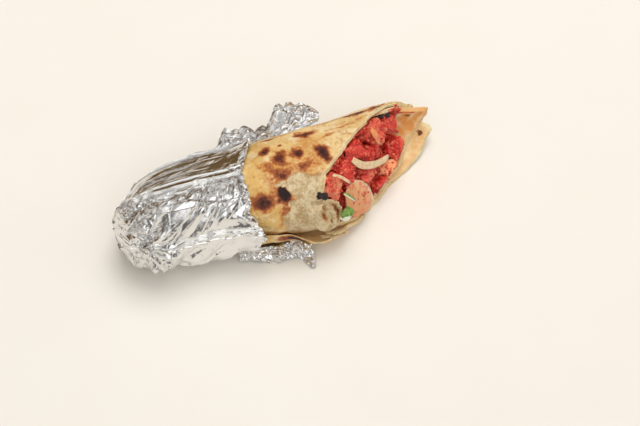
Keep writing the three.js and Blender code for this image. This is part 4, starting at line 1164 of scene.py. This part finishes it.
masala = {
    # the first and darkest colour is painted shade in the clefts between grains
    "voxel": 0.5, "lump": (5, 1.2), "grain": (2.8, 1.4), "colours": ("5E0F0B", "B53023", "CF4A37", "E07C50"),
    "shownX": (-60, -40), "bulge": 4.5, "sunk": 3.0, "nearCut": (4, 16),
    "bareAcross": (9, 17), "bareAbove": (-1, 13),  # the wall shows here, so the filling is sunk
    "bits": 520, "bitSize": (0.3, 1.0), "bitReach": 27, "bitScatter": 0.25, "onPetal": 0.15, "bitRise": 0.25,
    "castFrom": 40,  # rays that look for a place start this far out
    "caught": 60, "caughtAt": (26.6, 7.6), "caughtSpread": 1.5, "caughtSize": (0.5, 1.3),
    "bitColours": ("A8261B", "CE3F30", "E05B46", "EE8C6A"), "bitStops": (0.15, 0.4, 0.7, 0.95),
}


def makeMasala():
    finish = meatFinish("red masala", masala["colours"])
    points, normals, faces = copyOfNode("masala_filling", masala["voxel"])
    lump, lumpHeight = masala["lump"]
    size, grainHeight = masala["grain"]
    grain = grains(points, size, 7)
    height = lumpHeight * lumps(points, lump, 1, 77) + grainHeight * (grain - 0.5)
    shown = smooth(*masala["shownX"], points[:, 0])
    behindCut = (mouthPoint(0.0, 0.0) - points) @ cutNormal
    points = points + normals * (height * shown)[:, None]
    # it stands up between the chunks
    bare = smooth(*masala["bareAcross"], points[:, 1])
    bare = bare * bump(points[:, 2] - rollAxisZ(points[:, 0]), *masala["bareAbove"])
    raised = masala["bulge"] * (1 - bare) - masala["sunk"] * bare
    points[:, 0] += raised * (1 - smooth(*masala["nearCut"], behindCut))
    points = keepInside(points)
    addPiece("masala_core", points, faces, finish, "red_masala", ["masala_filling"],
             {"tint": np.zeros(len(points)), "grain": grain})


def roundBit(subdivisions):
    # a ball to be squeezed into crumbs
    ball = bmesh.new()
    bmesh.ops.create_icosphere(ball, subdivisions=subdivisions, radius=1)
    points = np.array([v.co[:] for v in ball.verts])
    faces = np.array([[v.index for v in f.verts] for f in ball.faces])
    ball.free()
    return points, faces


def surfaces(*endings):
    # the pieces whose names end so, to be met by rays
    graph = bpy.context.evaluated_depsgraph_get()
    return [BVHTree.FromObject(piece, graph) for piece in bpy.data.objects if piece.name.endswith(endings)]


def firstHit(trees, start, aim):
    # spot, normal, face and distance of what a ray meets first
    hits = [hit for hit in (tree.ray_cast(start, aim) for tree in trees) if hit[0]]
    return min(hits, key=lambda hit: hit[3], default=None)


def makeBits():
    # minced masala clinging to the chunks and to what shows between them
    rng = np.random.default_rng(88)
    trees = surfaces("_meat", "_petal_01_slice", "masala_core")
    crust, petal = surfaces("paratha_bread")[0], surfaces("_petal_01_slice")[0]
    ball, ballFaces = roundBit(1)
    bits, tones = [], []

    def addBit(spot, normal, size):
        turn, _ = np.linalg.qr(rng.normal(size=(3, 3)))
        shape = ball * rng.uniform(0.6, 1.3, 3) * rng.uniform(0.8, 1.2, (len(ball), 1))
        centre = toLayout(spot) + np.array(normal) * size * masala["bitRise"]
        bits.append((centre + shape @ turn * size, ballFaces))
        tones.append(np.full(len(ball), rng.random()))

    while len(bits) < masala["bits"]:
        across, above = rng.uniform(-1, 1, 2) * masala["bitReach"]
        aim = unit(outward + rng.normal(0, masala["bitScatter"], 3))
        start = Vector(toFrame(mouthPoint(across, above) + aim * masala["castFrom"]))
        hit = firstHit(trees, start, Vector(-aim))
        if not hit or np.hypot(across, above) > masala["bitReach"]:
            continue
        spot, normal = hit[:2]
        if petal.find_nearest(spot)[3] < 1e-5 and rng.random() > masala["onPetal"]:
            continue
        if (crust.ray_cast(start, Vector(-aim))[3] or 1) < (spot - start).length:  # the bread lies over it
            continue
        addBit(spot, normal, mix(*masala["bitSize"], rng.random() ** 2))
    # some of it is caught on the bread above the filling
    while len(bits) < masala["bits"] + masala["caught"]:
        place = mouthPoint(*rng.normal(masala["caughtAt"], masala["caughtSpread"]))
        start = Vector(toFrame(place + outward * masala["castFrom"]))
        hit = firstHit([crust], start, Vector(-outward))
        if hit:
            addBit(*hit[:2], mix(*masala["caughtSize"], rng.random()))
    finish = Finish("masala crumbs", Roughness=0.38, Subsurface_Weight=0.1, Subsurface_Scale=0.001)
    tone = finish.attribute("tone") * 0.8 + finish.noise(1.2, 2) * 0.2
    finish.feed(Base_Color=tone.colours(list(zip(masala["bitStops"], map(srgb, masala["bitColours"])))))
    addPiece("masala_bits", *joined(bits), finish, "red_masala", ["masala_filling"],
             {"tone": np.concatenate(tones)})


ribbon = {"along": 70, "across": 16, "waviness": (5, 0.35)}
onions = {
    "colours": {"flesh": ("EFDDB8", "DFC193"), "tinged": "E9985A", "rim": "F4DDB6", "sauce": "E0562F"},
    # each strip's path in the mouth: across it, above its middle, how proud
    "shapes": {
        "onion_strip_01": {"path": [(-0.8, 12.8, 4.0), (-0.4, 6.9, 4.4), (0.9, 1.3, 4.4), (5.3, -6.2, 4.2),
                                    (10.5, -10.3, 3.6)], "width": 4.4, "thickness": 1.5, "sauced": 0.25},
        "onion_strip_02": {"path": [(-11.2, 18.8, 2), (-9.6, 12.4, 4.4), (-9, 3, 4.6)],
                           "width": 1.7, "thickness": 1.1, "sauced": 0.3},
        "onion_strip_03": {"path": [(14.4, 15, 3.6), (13.6, 10.4, 5.4), (12.4, 3, 4.6)],
                           "width": 4.0, "thickness": 1.2, "sauced": 1.4},
        # a sheet that lies between a root and a free edge
        "onion_petal_01": {"root": [(-8.8, 2.8, 3), (-13.4, 1.8, 3.4), (-17.6, -5.6, 3.4),
                                    (-19.4, -12.6, 2.6), (-18.4, -21.4, 0.8)],
                           "path": [(-6.8, 2, 3), (-4.8, -4.6, 3.4), (-4.9, -12.5, 3.4),
                                    (-7.8, -20.6, 2.6), (-15.4, -23.6, 1)],
                           "across": 44, "thickness": 1.0, "bulge": 2.6, "waviness": (4, 0.5), "sauced": 1.1},
    },
}
herbs = {
    "colours": {"green": ("4E7426", "82A548"), "stalk": "E4E6CC"},
    "shapes": {
        "herb_leaf_01": {"path": [(-22.6, -5.6, 5), (-20.6, -8.6, 6.4), (-18, -11.4, 6.4)],
                         "across": 44, "width": 8, "thickness": 0.9, "arch": 1.4},
        "herb_leaf_02": {"path": [(-14.2, 2.4, 6.6), (-13.6, -3, 7.6), (-13.3, -8.4, 7.4)],
                         "width": 1.8, "thickness": 0.9},
    },
}


def makeRibbon(name, shape, finish, slotName):
    count, across = ribbon["along"], shape.get("across", ribbon["across"])
    line = mouthCurve(shape["path"], count)[:, None]
    u = np.linspace(0, 1, count)[:, None, None]
    v = np.linspace(0, 1, across)[None, :, None]
    sauced = shape.get("sauced", 0.0) + 0 * u * v
    rim = 0 * u * v
    if "root" in shape:
        root = mouthCurve(shape["root"], count)[:, None]
        points = mix(root, line, v) + outward * shape["bulge"] * np.sin(np.pi * v ** 1.3)
        size, reach = shape["waviness"]
        points = points + outward * reach * lumps(points, size, 2, 91)[..., None]
        points = keepInside(points.reshape(-1, 3), domed=False).reshape(points.shape)
        sauced = sauced * mix(0.75, 1.25, u)
        rim = np.maximum(smooth(0.86, 0.95, v), 1 - smooth(0.04, 0.1, u))
    else:
        tangent = np.gradient(line, axis=0)
        tangent = tangent / np.linalg.norm(tangent, axis=-1, keepdims=True)
        side = np.cross(tangent, cutNormal)
        side = side / np.linalg.norm(side, axis=-1, keepdims=True)
        arch = shape.get("arch", 0)
        taper = np.sqrt(1 - 0.94 * (2 * u - 1) ** 2) if arch else 1 - 0.35 * (2 * u - 1) ** 4
        points = line + side * (v - 0.5) * shape["width"] * taper
        points = points + cutNormal * (arch * (1 - (2 * v - 1) ** 2) + 0.35 * arch * np.sin(7 * u + 5 * v))
    size, reach = ribbon["waviness"]
    points = points + cutNormal * reach * lumps(points, size, 2, 90)[..., None]
    # thin towards its edges
    rounding = np.sqrt(np.clip(1 - (2 * v - 1) ** 6, 0, 1)) * np.sqrt(np.clip(1 - (2 * u - 1) ** 16, 0, 1))
    both, faces = thinSheet(points, gridNormals(points) * (0.15 + 0.85 * rounding), shape["thickness"])
    addPiece(name + "_slice", both, faces, finish, slotName, [name],
             {"sauced": bothFaces(sauced), "across": bothFaces(v + 0 * u), "rim": bothFaces(rim)})


def onionFinish():
    finish = Finish("onion", Subsurface_Weight=0.5, Subsurface_Scale=0.003, Subsurface_Radius=(1.0, 0.7, 0.4),
                    Specular_IOR_Level=0.5)
    tones = tonesOf(onions["colours"])
    veins, sauced = finish.noise(2.5, 3), finish.attribute("sauced")
    colour = veins.between(0.35, 0.65).blend(*tones["flesh"])
    colour = (sauced * 0.7).between(0.0, 1.0).blend(colour, tones["tinged"])
    colour = (finish.attribute("rim") * 0.85).blend(colour, tones["rim"])
    sauce = (finish.noise(3.4, 2) + sauced * 0.06).between(0.58, 0.72)
    colour = (sauce * (0.3 + sauced * 0.35)).blend(colour, tones["sauce"])
    finish.feed(Base_Color=colour, Roughness=0.2 + veins * 0.2)
    finish.relief(finish.noise(1.5, 2), 0.25)
    return finish


def herbFinish():
    finish = Finish("green herb", Subsurface_Weight=0.2, Subsurface_Scale=0.001)
    tones = tonesOf(herbs["colours"])
    veins = finish.noise(1.6, 3)
    green = veins.between(0.35, 0.65).blend(*tones["green"])
    stalk = (finish.attribute("across") + (veins - 0.5) * 0.3).between(0.56, 0.68)
    finish.feed(Base_Color=stalk.blend(green, tones["stalk"]), Roughness=0.25 + veins * 0.2)
    finish.relief(veins, 0.3)
    return finish


burnt = {
    "colours": ("17100F", "33211C"), "crumpled": (0.6, 0.6), "castFrom": 60,
    # across and above the middle of the cut, half sizes along, across and through, turn,
    # how proud its middle lies
    "flakes": [(22.4, 13.5, 3.4, 1.2, 0.9, -8, 0.6), (-21, 16.5, 2.5, 2.3, 1.4, 20, 1.3)],
}


def makeBurnt():
    # two black flakes of burnt crust on the rim, each lying on what is under it
    trees = surfaces("_meat", "masala_core", "paratha_bread", "torn_folds")
    ball, ballFaces = roundBit(4)
    right = unit(view["right"])
    size, reach = burnt["crumpled"]
    shapes = []
    for number, (across, above, long, wide, thick, turn, proud) in enumerate(burnt["flakes"]):
        start = Vector(toFrame(mouthPoint(across, above) + outward * burnt["castFrom"]))
        spot, normal, _, _ = firstHit(trees, start, Vector(-outward))
        normal = unit(np.array(normal) + outward)
        along = unit(right - (right @ normal) * normal)
        upward = np.cross(normal, along)
        shape = ball * (1 + reach * lumps(ball, size, 2, 40 + number)[:, None]) * (long, wide, thick)
        cos, sin = turned(turn)
        axes = np.stack([cos * along - sin * upward, sin * along + cos * upward, normal])
        shapes.append((toLayout(spot) + normal * proud + shape @ axes, ballFaces))
    finish = Finish("burnt crust", Roughness=0.5)
    grain = finish.noise(1.2, 3)
    finish.feed(Base_Color=grain.between(0.4, 0.65).blend(*map(srgb, burnt["colours"])))
    finish.relief(grain, 0.4)
    addPiece("burnt_flakes", *joined(shapes), finish, "griddled_bread", ["paratha"])


makeChunks()
makeMasala()
for settings, finish, slotName in ((onions, onionFinish(), "onion"), (herbs, herbFinish(), "green_herb")):
    for name, shape in settings["shapes"].items():
        makeRibbon(name, shape, finish, slotName)
makeBits()
makeBurnt()
print("filling made")
